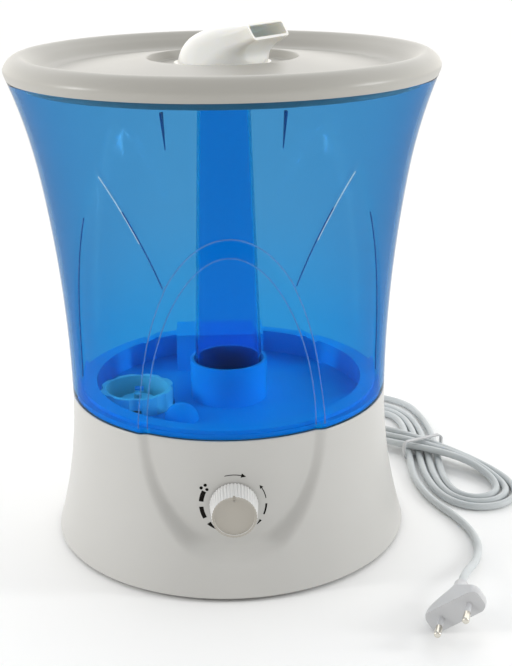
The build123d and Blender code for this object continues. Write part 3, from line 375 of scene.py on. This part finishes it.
CORD_GREY = plastic(
    "grey_cord_jacket", (0.50, 0.53, 0.54), (0.57, 0.60, 0.61), (0.34, 0.46), cloud=40.0
)
PLUG_WHITE = plastic(
    "white_plug_plastic", (0.52, 0.525, 0.535), (0.56, 0.565, 0.575), (0.4, 0.52)
)
MARK_BLACK = plastic(
    "black_marks", (0.005, 0.004, 0.003), (0.009, 0.008, 0.006), (0.55, 0.65)
)
mark_shader = MARK_BLACK.node_tree.nodes["Principled BSDF"]
mark_shader.inputs["Specular IOR Level"].default_value = MARK_SHINE
STEEL = metal("bright_steel", (0.50, 0.51, 0.53), (0.66, 0.67, 0.69))
PIEZO = metal("piezo_disc", (0.55, 0.52, 0.45), (0.70, 0.67, 0.60), (0.1, 0.2))
ALUMINIUM = metal("cast_aluminium", (0.60, 0.61, 0.63), (0.74, 0.75, 0.77), (0.3, 0.5))
CORE_STEEL = metal(
    "transformer_sheets", (0.10, 0.105, 0.115), (0.20, 0.21, 0.22), (0.4, 0.55), (1.0, 14.0, 1.0)
)
COPPER = metal(
    "copper_winding", (0.48, 0.20, 0.08), (0.66, 0.32, 0.15), (0.25, 0.4), (1.0, 1.0, 12.0)
)
MAGNET_GREY = metal("magnet_plating", (0.16, 0.16, 0.17), (0.26, 0.26, 0.27), (0.3, 0.45))
BRASS = metal("brass_nut", (0.52, 0.38, 0.15), (0.68, 0.52, 0.25), (0.2, 0.35))
PIN_METAL = metal("plug_pin_nickel", (0.60, 0.57, 0.50), (0.74, 0.71, 0.64), (0.15, 0.28))
REED_GLASS = clear("reed_glass", (0.50, 0.70, 0.62), (0.56, 0.76, 0.68), (0.02, 0.05), 1.45)

NODE_LOOKS = {
    "base_housing": WHITE, "lid": LID_WHITE, "nozzle": NOZZLE_WHITE, "knob": KNOB_WHITE,
    "basin": BASIN_WHITE, "tank_shell": BLUE, "tank_pan": PAN_BLUE, "chimney": DEEP_BLUE,
    "fill_cap": CAP_WHITE, "bottom_plate": PLATE_GREY, "rubber_feet": RUBBER_GREY,
    "transducer_seal": RUBBER_BLACK, "cap_gasket": RUBBER_BLACK, "valve_seal": RUBBER_BLACK,
    "plate_screws": STEEL, "clamp_screws": STEEL, "pot_body": STEEL, "knob_shaft": STEEL,
    "valve_spring": STEEL, "valve_stem": STEEL, "transducer_disc": PIEZO,
    "transducer_clamp": ALUMINIUM, "heat_sink": ALUMINIUM, "driver_board": BOARD_GREEN,
    "board_parts": PART_BLACK, "fan_frame": PART_BLACK, "fan_impeller": PART_BLACK,
    "transformer_core": CORE_STEEL, "transformer_coil": COPPER, "air_duct": DUCT_WHITE,
    "reed_switch": REED_GLASS, "float_body": FLOAT_WHITE, "float_clip": FLOAT_WHITE,
    "float_magnet": MAGNET_GREY, "pot_nut": BRASS, "cord_gland": PLUG_WHITE,
    "plug_body": PLUG_WHITE, "plug_sleeves": PLUG_WHITE, "cord_tie": PLUG_WHITE,
    "plug_pins": PIN_METAL, "cord_lead": CORD_GREY, "cord_hank": CORD_GREY,
    "cord_tail": CORD_GREY,
}
for node_name, look in NODE_LOOKS.items():
    mesh = nodes[node_name].data
    mesh.materials.clear()
    mesh.materials.append(look)


# Camera at the photograph's view
ahead = Vector((
    math.sin(YAW) * math.cos(PITCH),
    math.cos(YAW) * math.cos(PITCH),
    -math.sin(PITCH),
))
right = Vector((math.cos(YAW), -math.sin(YAW), 0.0))
upward = right.cross(ahead)
cam_x = right * math.cos(ROLL) - upward * math.sin(ROLL)
cam_y = right * math.sin(ROLL) + upward * math.cos(ROLL)
camera_data = bpy.data.cameras.new("photo_camera")
camera_data.sensor_width = CAMERA_SENSOR
camera_data.lens = CAMERA_LENS
camera = bpy.data.objects.new("photo_camera", camera_data)
turn = Matrix((cam_x, cam_y, -ahead)).transposed().to_4x4()
camera.matrix_world = Matrix.Translation(CAMERA_SPOT) @ turn
bpy.context.scene.collection.objects.link(camera)
bpy.context.scene.camera = camera


def keep(obj, body, look, *replaced):
    bpy.context.scene.collection.objects.link(obj)
    obj.data.materials.append(look)
    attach(obj, body)
    if replaced:
        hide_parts(*replaced)


# Cord on its own route
def hank_point(degrees):
    angle = math.radians(degrees)
    lap = (degrees - HANK_FIRST) / 360.0
    lobe = int(min(HANK_TURNS - 1, max(0, math.floor(lap))))
    first, growth = HANK_FRONT if math.cos(angle) >= 0.0 else HANK_BACK
    size = first + growth * lobe
    ratio = math.tan(math.radians(HANK_SPREAD))
    step = HANK_PITCH / math.sin(math.radians(HANK_SPREAD))
    along = step * (HANK_TURNS / 2.0 - lap) + size * math.cos(angle)
    across = 0.5 * ratio * size * math.sin(2.0 * angle)
    reach = abs(size * math.cos(angle)) / math.cos(math.radians(HANK_SPREAD))
    near_tie = 1.0 - smooth((reach - TIE_REACH) / TIE_FALL)
    lift = TIE_LIFT + (HANK_LIFT if math.sin(angle) > 0.0 else 0.0)
    axis = math.radians(HANK_AXIS)
    x = TIE[0] + along * math.cos(axis) - across * math.sin(axis)
    y = TIE[1] + along * math.sin(axis) + across * math.cos(axis)
    return Vector((x, y, CORD_Z + near_tie * lift))


def hank_tangent(degrees):
    return (hank_point(degrees + 0.05) - hank_point(degrees - 0.05)).normalized()


gland_turn = math.radians(GLAND_ANGLE)
gland_out = Vector((math.cos(gland_turn), math.sin(gland_turn), 0.0))
gland_tip = gland_out * GLAND_TIP_R + Vector((0.0, 0.0, GLAND_Z))
plug_neck = PLUG_FACE - PLUG_DIR * PLUG_NECK_L
route = [
    gland_tip,
    gland_tip + gland_out * GLAND_RUN,
    Vector((59.0, 160.0, 15.0)),
    Vector((70.0, 184.0, 4.2)),
    Vector((96.0, 199.0, CORD_Z)),
    Vector((127.0, 197.0, CORD_Z)),
    Vector((150.0, 178.0, CORD_Z)),
    Vector((157.0, 148.0, CORD_Z)),
    hank_point(HANK_FIRST) - hank_tangent(HANK_FIRST) * HANK_LEAD,
]
stops = int(round((HANK_LAST - HANK_FIRST) / HANK_STOP))
for stop in range(stops + 1):
    route.append(hank_point(HANK_FIRST + HANK_STOP * stop))
route += [
    hank_point(HANK_LAST) + hank_tangent(HANK_LAST) * HANK_TAIL,
    Vector((132.5, 37.0, CORD_Z)),
    Vector((139.0, 4.0, CORD_Z)),
    Vector((153.0, -24.0, CORD_Z)),
    Vector((159.5, -52.0, CORD_Z)),
    Vector((153.0, -82.0, 4.6)),
    plug_neck - PLUG_DIR * PLUG_RUN,
    plug_neck,
]
cord_data = bpy.data.curves.new("mains_cord", "CURVE")
cord_data.dimensions = "3D"
cord_data.bevel_depth = CORD_R * MM
cord_data.bevel_resolution = 6
cord_data.resolution_u = 10
spline = cord_data.splines.new("NURBS")
spline.points.add(len(route) - 1)
for point, spot in zip(spline.points, route):
    point.co = (spot.x * MM, spot.y * MM, spot.z * MM, 1.0)
spline.order_u = 3
spline.use_endpoint_u = True
cord = bpy.data.objects.new("mains_cord", cord_data)
keep(cord, "base", CORD_GREY, "cord_lead", "cord_hank", "cord_tail")


# Meshes made from rings of points
def as_object(name, made):
    data = bpy.data.meshes.new(name)
    made.to_mesh(data)
    made.free()
    return bpy.data.objects.new(name, data)


def lathe_mesh(name, profile, count, sharp=35.0):
    made = bmesh.new()
    rings = []
    for radius, z in profile:
        ring = []
        for i in range(count):
            angle = 2.0 * math.pi * i / count
            spot = (radius * math.cos(angle) * MM, radius * math.sin(angle) * MM, z * MM)
            ring.append(made.verts.new(spot))
        rings.append(ring)
    return stitch(name, made, rings, sharp)


def stitch(name, made, rings, sharp):
    count = len(rings[0])
    for low, high in zip(rings, rings[1:] + rings[:1]):
        for i in range(count):
            j = (i + 1) % count
            made.faces.new((low[i], low[j], high[j], high[i]))
    bmesh.ops.recalc_face_normals(made, faces=made.faces)
    for face in made.faces:
        face.smooth = True
    limit = math.radians(sharp)
    for edge in made.edges:
        if len(edge.link_faces) == 2 and edge.calc_face_angle(0.0) > limit:
            edge.smooth = False
    return as_object(name, made)


def rounded(points, radius):
    # Corners of a closed outline turned into small arcs
    out = []
    for i, corner in enumerate(points):
        corner = Vector(corner)
        before = Vector(points[i - 1]) - corner
        after = Vector(points[(i + 1) % len(points)]) - corner
        reach = min(radius, 0.45 * before.length, 0.45 * after.length)
        start = corner + before.normalized() * reach
        end = corner + after.normalized() * reach
        for k in range(ROUND_STEPS + 1):
            t = k / ROUND_STEPS
            out.append(tuple(start * (1 - t) ** 2 + corner * 2 * t * (1 - t) + end * t ** 2))
    return out


def catmull(points, steps):
    # Smooth line through the points
    out = []
    count = len(points)
    for i in range(count - 1):
        p0 = Vector(points[max(0, i - 1)])
        p1 = Vector(points[i])
        p2 = Vector(points[i + 1])
        p3 = Vector(points[min(count - 1, i + 2)])
        for k in range(steps):
            t = k / steps
            spot = p1 * 2 + (p2 - p0) * t + (p0 * 2 - p1 * 5 + p2 * 4 - p3) * t * t
            spot = spot + (p1 * 3 - p0 - p2 * 3 + p3) * t ** 3
            out.append(tuple(spot * 0.5))
    out.append(tuple(points[-1]))
    return out


# Outline of tank and housing
def arc_radius(bulge, run):
    # Radius of the arc that starts upright and moves sideways by the bulge over the run
    return (bulge ** 2 + run ** 2) / (2.0 * bulge)


low_arc = arc_radius(TANK_MID[0] - WAIST_R, TANK_MID[1] - SEAM_Z)
lean = math.asin((TANK_MID[1] - SEAM_Z) / low_arc)
rise = Vector((TANK_TOP[0] - TANK_MID[0], TANK_TOP[1] - TANK_MID[1]))
outward = Vector((math.cos(lean), -math.sin(lean)))
high_arc = rise.length_squared / (2.0 * rise.dot(outward))
high_centre = Vector(TANK_MID) + outward * high_arc
flare_arc = arc_radius(FOOT_R - WAIST_R, SEAM_Z - BASE_Z)
petal_arc = arc_radius(PETAL_HALF_W, PETAL_TOP_Z - PETAL_SPRING_Z)


def body_radius(z):
    if z < SEAM_Z:
        return WAIST_R + flare_arc - math.sqrt(flare_arc ** 2 - (SEAM_Z - z) ** 2)
    if z < TANK_MID[1]:
        return WAIST_R + low_arc - math.sqrt(low_arc ** 2 - (z - SEAM_Z) ** 2)
    return high_centre.x - math.sqrt(high_arc ** 2 - (z - high_centre.y) ** 2)


def between(x, z, outer, inner):
    # 0 inside the inner oval, 1 outside the outer oval
    far = math.hypot(x / outer[0], (z - SEAM_Z) / outer[1])
    near = math.hypot(x / inner[0], (z - SEAM_Z) / inner[1])
    if near <= 1.0:
        return 0.0
    if far >= 1.0:
        return 1.0
    return (near - 1.0) / (near - far)


def petal_depth(away, radius, z):
    # Depth of one pointed petal, with a soft edge and a foot that fades out
    rise = max(0.0, z - PETAL_SPRING_Z)
    if math.cos(away) < FRONT_COSINE or z < PETAL_FOOT_Z or rise > petal_arc:
        return 0.0
    half = PETAL_HALF_W - petal_arc + math.sqrt(petal_arc ** 2 - rise ** 2)
    lean = math.cos(math.asin(rise / petal_arc))
    inside = (half - abs(radius * math.sin(away))) * lean
    fade = smooth((z - PETAL_FOOT_Z) / PETAL_FADE)
    return PETAL_DEPTH * fade * smooth(0.5 + inside / PETAL_EDGE)


def wall_radius(angle, z):
    # Hourglass with the oval panel in front and the petals at the sides; angle from the front
    full = body_radius(z)
    if z > SEAM_Z:
        full -= max(petal_depth(angle - math.radians(petal), full, z) for petal in PETAL_ANGLES)
    if math.cos(angle) < FRONT_COSINE or full < PANEL_R:
        return full
    radius = full
    for _ in range(PANEL_ROUNDS):
        x = radius * math.sin(angle)
        if z > SEAM_Z:
            share = between(x, z, ARCH_OUTER, ARCH_INNER)
        else:
            share = smooth(between(x, z, SHELF_OUTER, SHELF_INNER))
        radius = mix(PANEL_R, full, share)
    return radius


def wall_spot(angle, radius, z):
    return (radius * math.sin(angle) * MM, -radius * math.cos(angle) * MM, z * MM)


def wall_ring(made, z, inset=0.0, squeeze=None):
    # One ring of the wall, or a plain circle where squeeze gives its radius
    ring = []
    for i in range(WALL_COUNT):
        angle = 2.0 * math.pi * i / WALL_COUNT
        radius = squeeze
        if squeeze is None:
            radius = wall_radius(math.remainder(angle, 2.0 * math.pi), z) - inset
        ring.append(made.verts.new(wall_spot(angle, radius, z)))
    return ring


def heights(low, high, step):
    count = max(1, int(round((high - low) / step)))
    return [mix(low, high, k / count) for k in range(count + 1)]


# Tank wall
made = bmesh.new()
rim_z = TANK_TOP[1] - RIM_EDGE
rings = [wall_ring(made, SEAM_Z, SEAM_EDGE)]
rings += [wall_ring(made, z) for z in heights(SEAM_Z + SEAM_EDGE, rim_z, TANK_STEP)]
rings.append(wall_ring(made, TANK_TOP[1], RIM_EDGE))
rings.append(wall_ring(made, TANK_TOP[1], TANK_WALL - RIM_EDGE))
rings += [wall_ring(made, z, TANK_WALL) for z in reversed(heights(SEAM_Z, rim_z, TANK_STEP))]
tank_wall = stitch("tank_wall", made, rings, WALL_SHARP)
keep(tank_wall, "tank", BLUE, "tank_shell")
# Lamp light reaches the pan inside
tank_wall.visible_shadow = False

# Floor ring inside the foot of the wall
made = bmesh.new()
rings = [
    wall_ring(made, SEAM_Z, TANK_WALL + RING_GAP),
    wall_ring(made, PAN_FLANGE_Z, TANK_WALL + RING_GAP),
    wall_ring(made, PAN_FLANGE_Z, squeeze=PAN_R + PAN_GAP),
    wall_ring(made, SEAM_Z, squeeze=PAN_R + PAN_GAP),
]
tank_ring = stitch("tank_floor_ring", made, rings, WALL_SHARP)
keep(tank_ring, "tank", PAN_BLUE, "tank_shell")


# Crease lines of painted light: a faint painted highlight on the arch, painted shade along the
# petals, a painted highlight near their tips
def crease(name, spots, look):
    data = bpy.data.curves.new(name, "CURVE")
    data.dimensions = "3D"
    data.bevel_depth = CREASE_R * MM
    data.bevel_resolution = 2
    path = data.splines.new("POLY")
    path.points.add(len(spots) - 1)
    for point, (angle, z) in zip(path.points, spots):
        point.co = (*wall_spot(angle, wall_radius(angle, z), z), 1.0)
    keep(bpy.data.objects.new(name, data), "tank", look)


def oval_crease(name, size):
    spots = []
    for k in range(-ARCH_STEPS, ARCH_STEPS + 1):
        turn = math.radians(ARCH_STEP_DEG * k)
        z = SEAM_Z + size[1] * math.cos(turn)
        spots.append((math.asin(size[0] * math.sin(turn) / body_radius(z)), z))
    crease(name, spots, CREASE_FAINT_HIGHLIGHT)


def petal_crease(name, petal, side, inset, low_z, high_z, look):
    spots = []
    for z in heights(low_z, high_z, CREASE_PITCH):
        rise = z - PETAL_SPRING_Z
        half = PETAL_HALF_W - inset - petal_arc + math.sqrt(petal_arc ** 2 - rise ** 2)
        angle = math.radians(petal) + side * math.asin(half / body_radius(z))
        x = body_radius(z) * math.sin(angle)
        if between(x, z, ARCH_OUTER, ARCH_INNER) == 1.0:
            spots.append((angle, z))
    crease(name, spots, look)


# Name, edge of the petal, inset, lowest and highest point, look
PETAL_LINES = (
    ("front", -1.0, 0.0, PETAL_LOW_Z, PETAL_TOP_Z - 22.0, CREASE_SHADE),
    ("tip", -1.0, CREASE_STEP, PETAL_TOP_Z - 40.0, PETAL_TOP_Z - 3.0, CREASE_HIGHLIGHT),
    ("back", 1.0, 0.0, PETAL_LOW_Z, PETAL_TOP_Z - 30.0, CREASE_SHADE),
)
oval_crease("arch_outer_line", ARCH_OUTER)
oval_crease("arch_inner_line", ARCH_INNER)
for side, hand in ((-1.0, "left"), (1.0, "right")):
    for line, edge, *shape in PETAL_LINES:
        petal_crease("petal_" + line + "_line_" + hand, side * FRONT_PETAL, edge * side, *shape)

# Two short ribs that taper down from the mouth of the tank, coloured with the dark blue of
# painted shade
for rib, rib_angle in RIB_ANGLES:
    rib_bar = bmesh.new()
    for z, half, depth in RIB_ENDS:
        outer = body_radius(z) - TANK_WALL + RIB_BITE
        for x in (-half, half):
            for y in (-outer, depth - outer):
                rib_bar.verts.new(Vector((x, y, z)) * MM)
    bmesh.ops.convex_hull(rib_bar, input=rib_bar.verts[:])
    rib_turn = Matrix.Rotation(math.radians(rib_angle), 3, "Z")
    bmesh.ops.rotate(rib_bar, matrix=rib_turn, verts=rib_bar.verts)
    keep(as_object("tank_rib_" + rib, rib_bar), "tank", CREASE_SHADE)

# Base housing
made = bmesh.new()
rings = [wall_ring(made, BASE_Z, FOOT_EDGE)]
outer_heights = heights(BASE_Z + FOOT_EDGE, SEAM_Z - SHOULDER_Z, HOUSING_STEP)
rings += [wall_ring(made, z) for z in outer_heights]
rings.append(wall_ring(made, SEAM_Z - SHOULDER_EDGE, SHOULDER_EDGE))
rings.append(wall_ring(made, SEAM_Z, SHOULDER_Z))
rings.append(wall_ring(made, SEAM_Z, squeeze=BASIN_LIP_R + LIP_GAP))
rings.append(wall_ring(made, SEAM_Z - LIP_SEAT, squeeze=BASIN_LIP_R + LIP_GAP))
rings.append(wall_ring(made, SEAM_Z - LIP_SEAT, squeeze=LEDGE_R))
rings.append(wall_ring(made, SEAM_Z - LEDGE_LOW, squeeze=LEDGE_R))
inner_heights = heights(BASE_Z, SEAM_Z - INNER_TOP, HOUSING_STEP)
rings += [wall_ring(made, z, HOUSING_WALL) for z in reversed(inner_heights)]
housing = stitch("housing_shell", made, rings, WALL_SHARP)
keep(housing, "base", WHITE, "base_housing")

# Boss round the cord gland
boss_profile = [
    (BOSS_BORE_R, -BOSS_DEPTH), (BOSS_R, -BOSS_DEPTH), (BOSS_R, 0.0), (BOSS_BORE_R, 0.0),
]
pad = lathe_mesh("gland_boss", rounded(boss_profile, BOSS_EDGE), BOSS_COUNT)
pad_turn = gland_out.to_track_quat("Z", "Y").to_matrix().to_4x4()
pad_spot = (gland_out * BOSS_FACE_R + Vector((0.0, 0.0, GLAND_Z))) * MM
pad.matrix_world = Matrix.Translation(pad_spot) @ pad_turn
keep(pad, "base", WHITE)

# Lid
rim = catmull(
    [
        (TANK_TOP[0], TANK_TOP[1]),
        (TANK_TOP[0] + 1.3, TANK_TOP[1] + 5.5),
        (TANK_TOP[0] - 2.6, LID_CREST_Z - 2.0),
        (TANK_TOP[0] - 8.5, LID_CREST_Z),
        (TANK_TOP[0] - 15.0, LID_CREST_Z - 4.0),
        (LID_VALLEY[0] + 4.0, LID_VALLEY[1] + 1.4),
        (LID_VALLEY[0] - 1.0, LID_VALLEY[1]),
    ],
    LID_STEPS,
)
inside = rounded(
    [
        (LIP[0], LIP[1]),
        (LIP[0] - 2.0, WELL_FLOOR_Z),
        (NOZZLE_HOLE_R, WELL_FLOOR_Z),
        (NOZZLE_HOLE_R, SKIRT_Z),
        (NOZZLE_HOLE_R + 3.0, SKIRT_Z),
        (NOZZLE_HOLE_R + 3.0, WELL_FLOOR_Z - 2.4),
        (LIP[0] + 0.4, WELL_FLOOR_Z - 2.4),
        (LIP[0] + 2.2, LIP[1] - 2.7),
        (LID_VALLEY[0], LID_VALLEY[1] - 2.5),
        (LID_VALLEY[0] + 7.0, LID_VALLEY[1] - 0.2),
        (TANK_TOP[0] - 12.0, LID_CREST_Z - 4.8),
        (TANK_TOP[0] - 9.7, LID_CREST_Z - 3.4),
        (TANK_TOP[0] - 9.7, SKIRT_Z),
        (TANK_TOP[0] - 7.5, SKIRT_Z),
        (TANK_TOP[0] - 7.5, LID_CREST_Z - 3.2),
        (TANK_TOP[0] - 3.4, LID_CREST_Z - 5.0),
        (TANK_TOP[0] - TANK_WALL, TANK_TOP[1]),
    ],
    LID_EDGE,
)
slope = []
for k in range(1, SLOPE_STEPS):
    share = k / SLOPE_STEPS
    slope.append((mix(LID_VALLEY[0] - 1.0, LIP[0], share), mix(LID_VALLEY[1], LIP[1], share)))
lid = lathe_mesh("lid_shell", rim + slope + inside, LID_COUNT, WALL_SHARP)
keep(lid, "lid", LID_WHITE, "lid")


# Printed marks round the knob, laid on the panel
def panel_spot(radius, degrees):
    x = radius * math.sin(math.radians(degrees))
    z = KNOB_Z + radius * math.cos(math.radians(degrees))
    y = -math.sqrt((PANEL_R + MARK_PROUD) ** 2 - x * x)
    return Vector((x * MM, y * MM, z * MM))


def mark(name, outline):
    # Band between an inner and an outer line of (degrees, inner radius, outer radius)
    made = bmesh.new()
    pairs = []
    for degrees, *radii in outline:
        pairs.append([made.verts.new(panel_spot(radius, degrees)) for radius in radii])
    for a, b in zip(pairs, pairs[1:]):
        made.faces.new((a[0], a[1], b[1], b[0]))
    bmesh.ops.recalc_face_normals(made, faces=made.faces)
    keep(as_object(name, made), "base", MARK_BLACK)


def arc_mark(name, start, end, width_start, width_end, head=0.0):
    outline = []
    for k in range(MARK_STEPS + 1):
        share = k / MARK_STEPS
        half = mix(width_start, width_end, share) / 2.0
        outline.append((mix(start, end, share), MARK_R - half, MARK_R + half))
    if head:
        step = math.degrees(head / MARK_R) * (1.0 if end > start else -1.0)
        for k in range(HEAD_STEPS + 1):
            half = mix(head * 0.5, MARK_TIP, k / HEAD_STEPS)
            outline.append((end + step * k / HEAD_STEPS, MARK_R - half, MARK_R + half))
    mark(name, outline)


arc_mark("mark_top_arrow", -15.5, 13.9, 0.5, 0.5, head=2.9)
arc_mark("mark_right_arrow", 81.6, 59.6, 0.55, 0.55, head=2.3)
arc_mark("mark_right_bar", 92.0, 113.5, 1.2, 1.0)
arc_mark("mark_right_taper", 125.0, 136.0, 1.6, 0.3)
arc_mark("mark_left_bar", -63.8, -84.9, 2.75, 2.75)
arc_mark("mark_left_bar_low", -94.9, -117.4, 2.6, 2.6)
arc_mark("mark_left_wedge", -129.0, -145.8, 2.75, 0.3)
for drop, (drop_radius, drop_at) in enumerate(DROP_SPOTS):
    outline = []
    for k in range(DROP_STEPS + 1):
        half = MARK_TIP + DROP_SWELL * math.sqrt(math.sin(math.pi * k / DROP_STEPS))
        degrees = drop_at - DROP_SPAN / 2.0 + DROP_SPAN * k / DROP_STEPS
        outline.append((degrees, drop_radius - half, drop_radius + half))
    mark("mark_drop_" + str(drop), outline)


# Floor and light
floor_data = bpy.data.meshes.new("floor")
corners = [(x * FLOOR_HALF, y * FLOOR_HALF, 0.0) for x, y in ((-1, -1), (1, -1), (1, 1), (-1, 1))]
floor_data.from_pydata(corners, [], [(0, 1, 2, 3)])
floor = bpy.data.objects.new("floor", floor_data)
bpy.context.scene.collection.objects.link(floor)
FLOOR_WHITE = plastic("pale_floor", (0.93, 0.93, 0.925), (0.94, 0.94, 0.935), (0.8, 0.9))
floor_data.materials.append(FLOOR_WHITE)

world = bpy.data.worlds.new("studio")
bpy.context.scene.world = world
world.use_nodes = True
sky = world.node_tree
backdrop = sky.nodes["Background"]
sky_coords = sky.nodes.new("ShaderNodeTexCoord")
sky_split = sky.nodes.new("ShaderNodeSeparateXYZ")
sky.links.new(sky_coords.outputs["Generated"], sky_split.inputs["Vector"])
sky_round = spread(sky, sky_split.outputs["Y"], *SKY_ROUND)
sky_top = spread(sky, sky_split.outputs["Z"], *SKY_TOP)
sky_power = sky.nodes.new("ShaderNodeMath")
sky_power.operation = "MULTIPLY"
sky.links.new(sky_round.outputs["Result"], sky_power.inputs[0])
sky.links.new(sky_top.outputs["Result"], sky_power.inputs[1])
sky_tone = ramp(sky, sky_split.outputs["Z"], SKY_LOW, SKY_HIGH, 0.0, SKY_TONE_END)
sky.links.new(sky_tone.outputs["Color"], backdrop.inputs["Color"])
sky.links.new(sky_power.outputs["Value"], backdrop.inputs["Strength"])

for lamp_name, side, colour in LAMPS:
    lamp_data = bpy.data.lights.new(lamp_name, "AREA")
    lamp_data.shape = "ELLIPSE"
    lamp_data.size, lamp_data.size_y = LAMP_SIZE
    lamp_data.energy = LAMP_POWER
    lamp_data.color = colour
    lamp = bpy.data.objects.new(lamp_name, lamp_data)
    lamp.location = (side * LAMP_SPOT[0], LAMP_SPOT[1], LAMP_SPOT[2])
    lamp.rotation_mode = "QUATERNION"
    lamp.rotation_quaternion = (LAMP_TARGET - lamp.location).to_track_quat("-Z", "Y")
    bpy.context.scene.collection.objects.link(lamp)

view = bpy.context.scene.view_settings
view.view_transform = "Standard"
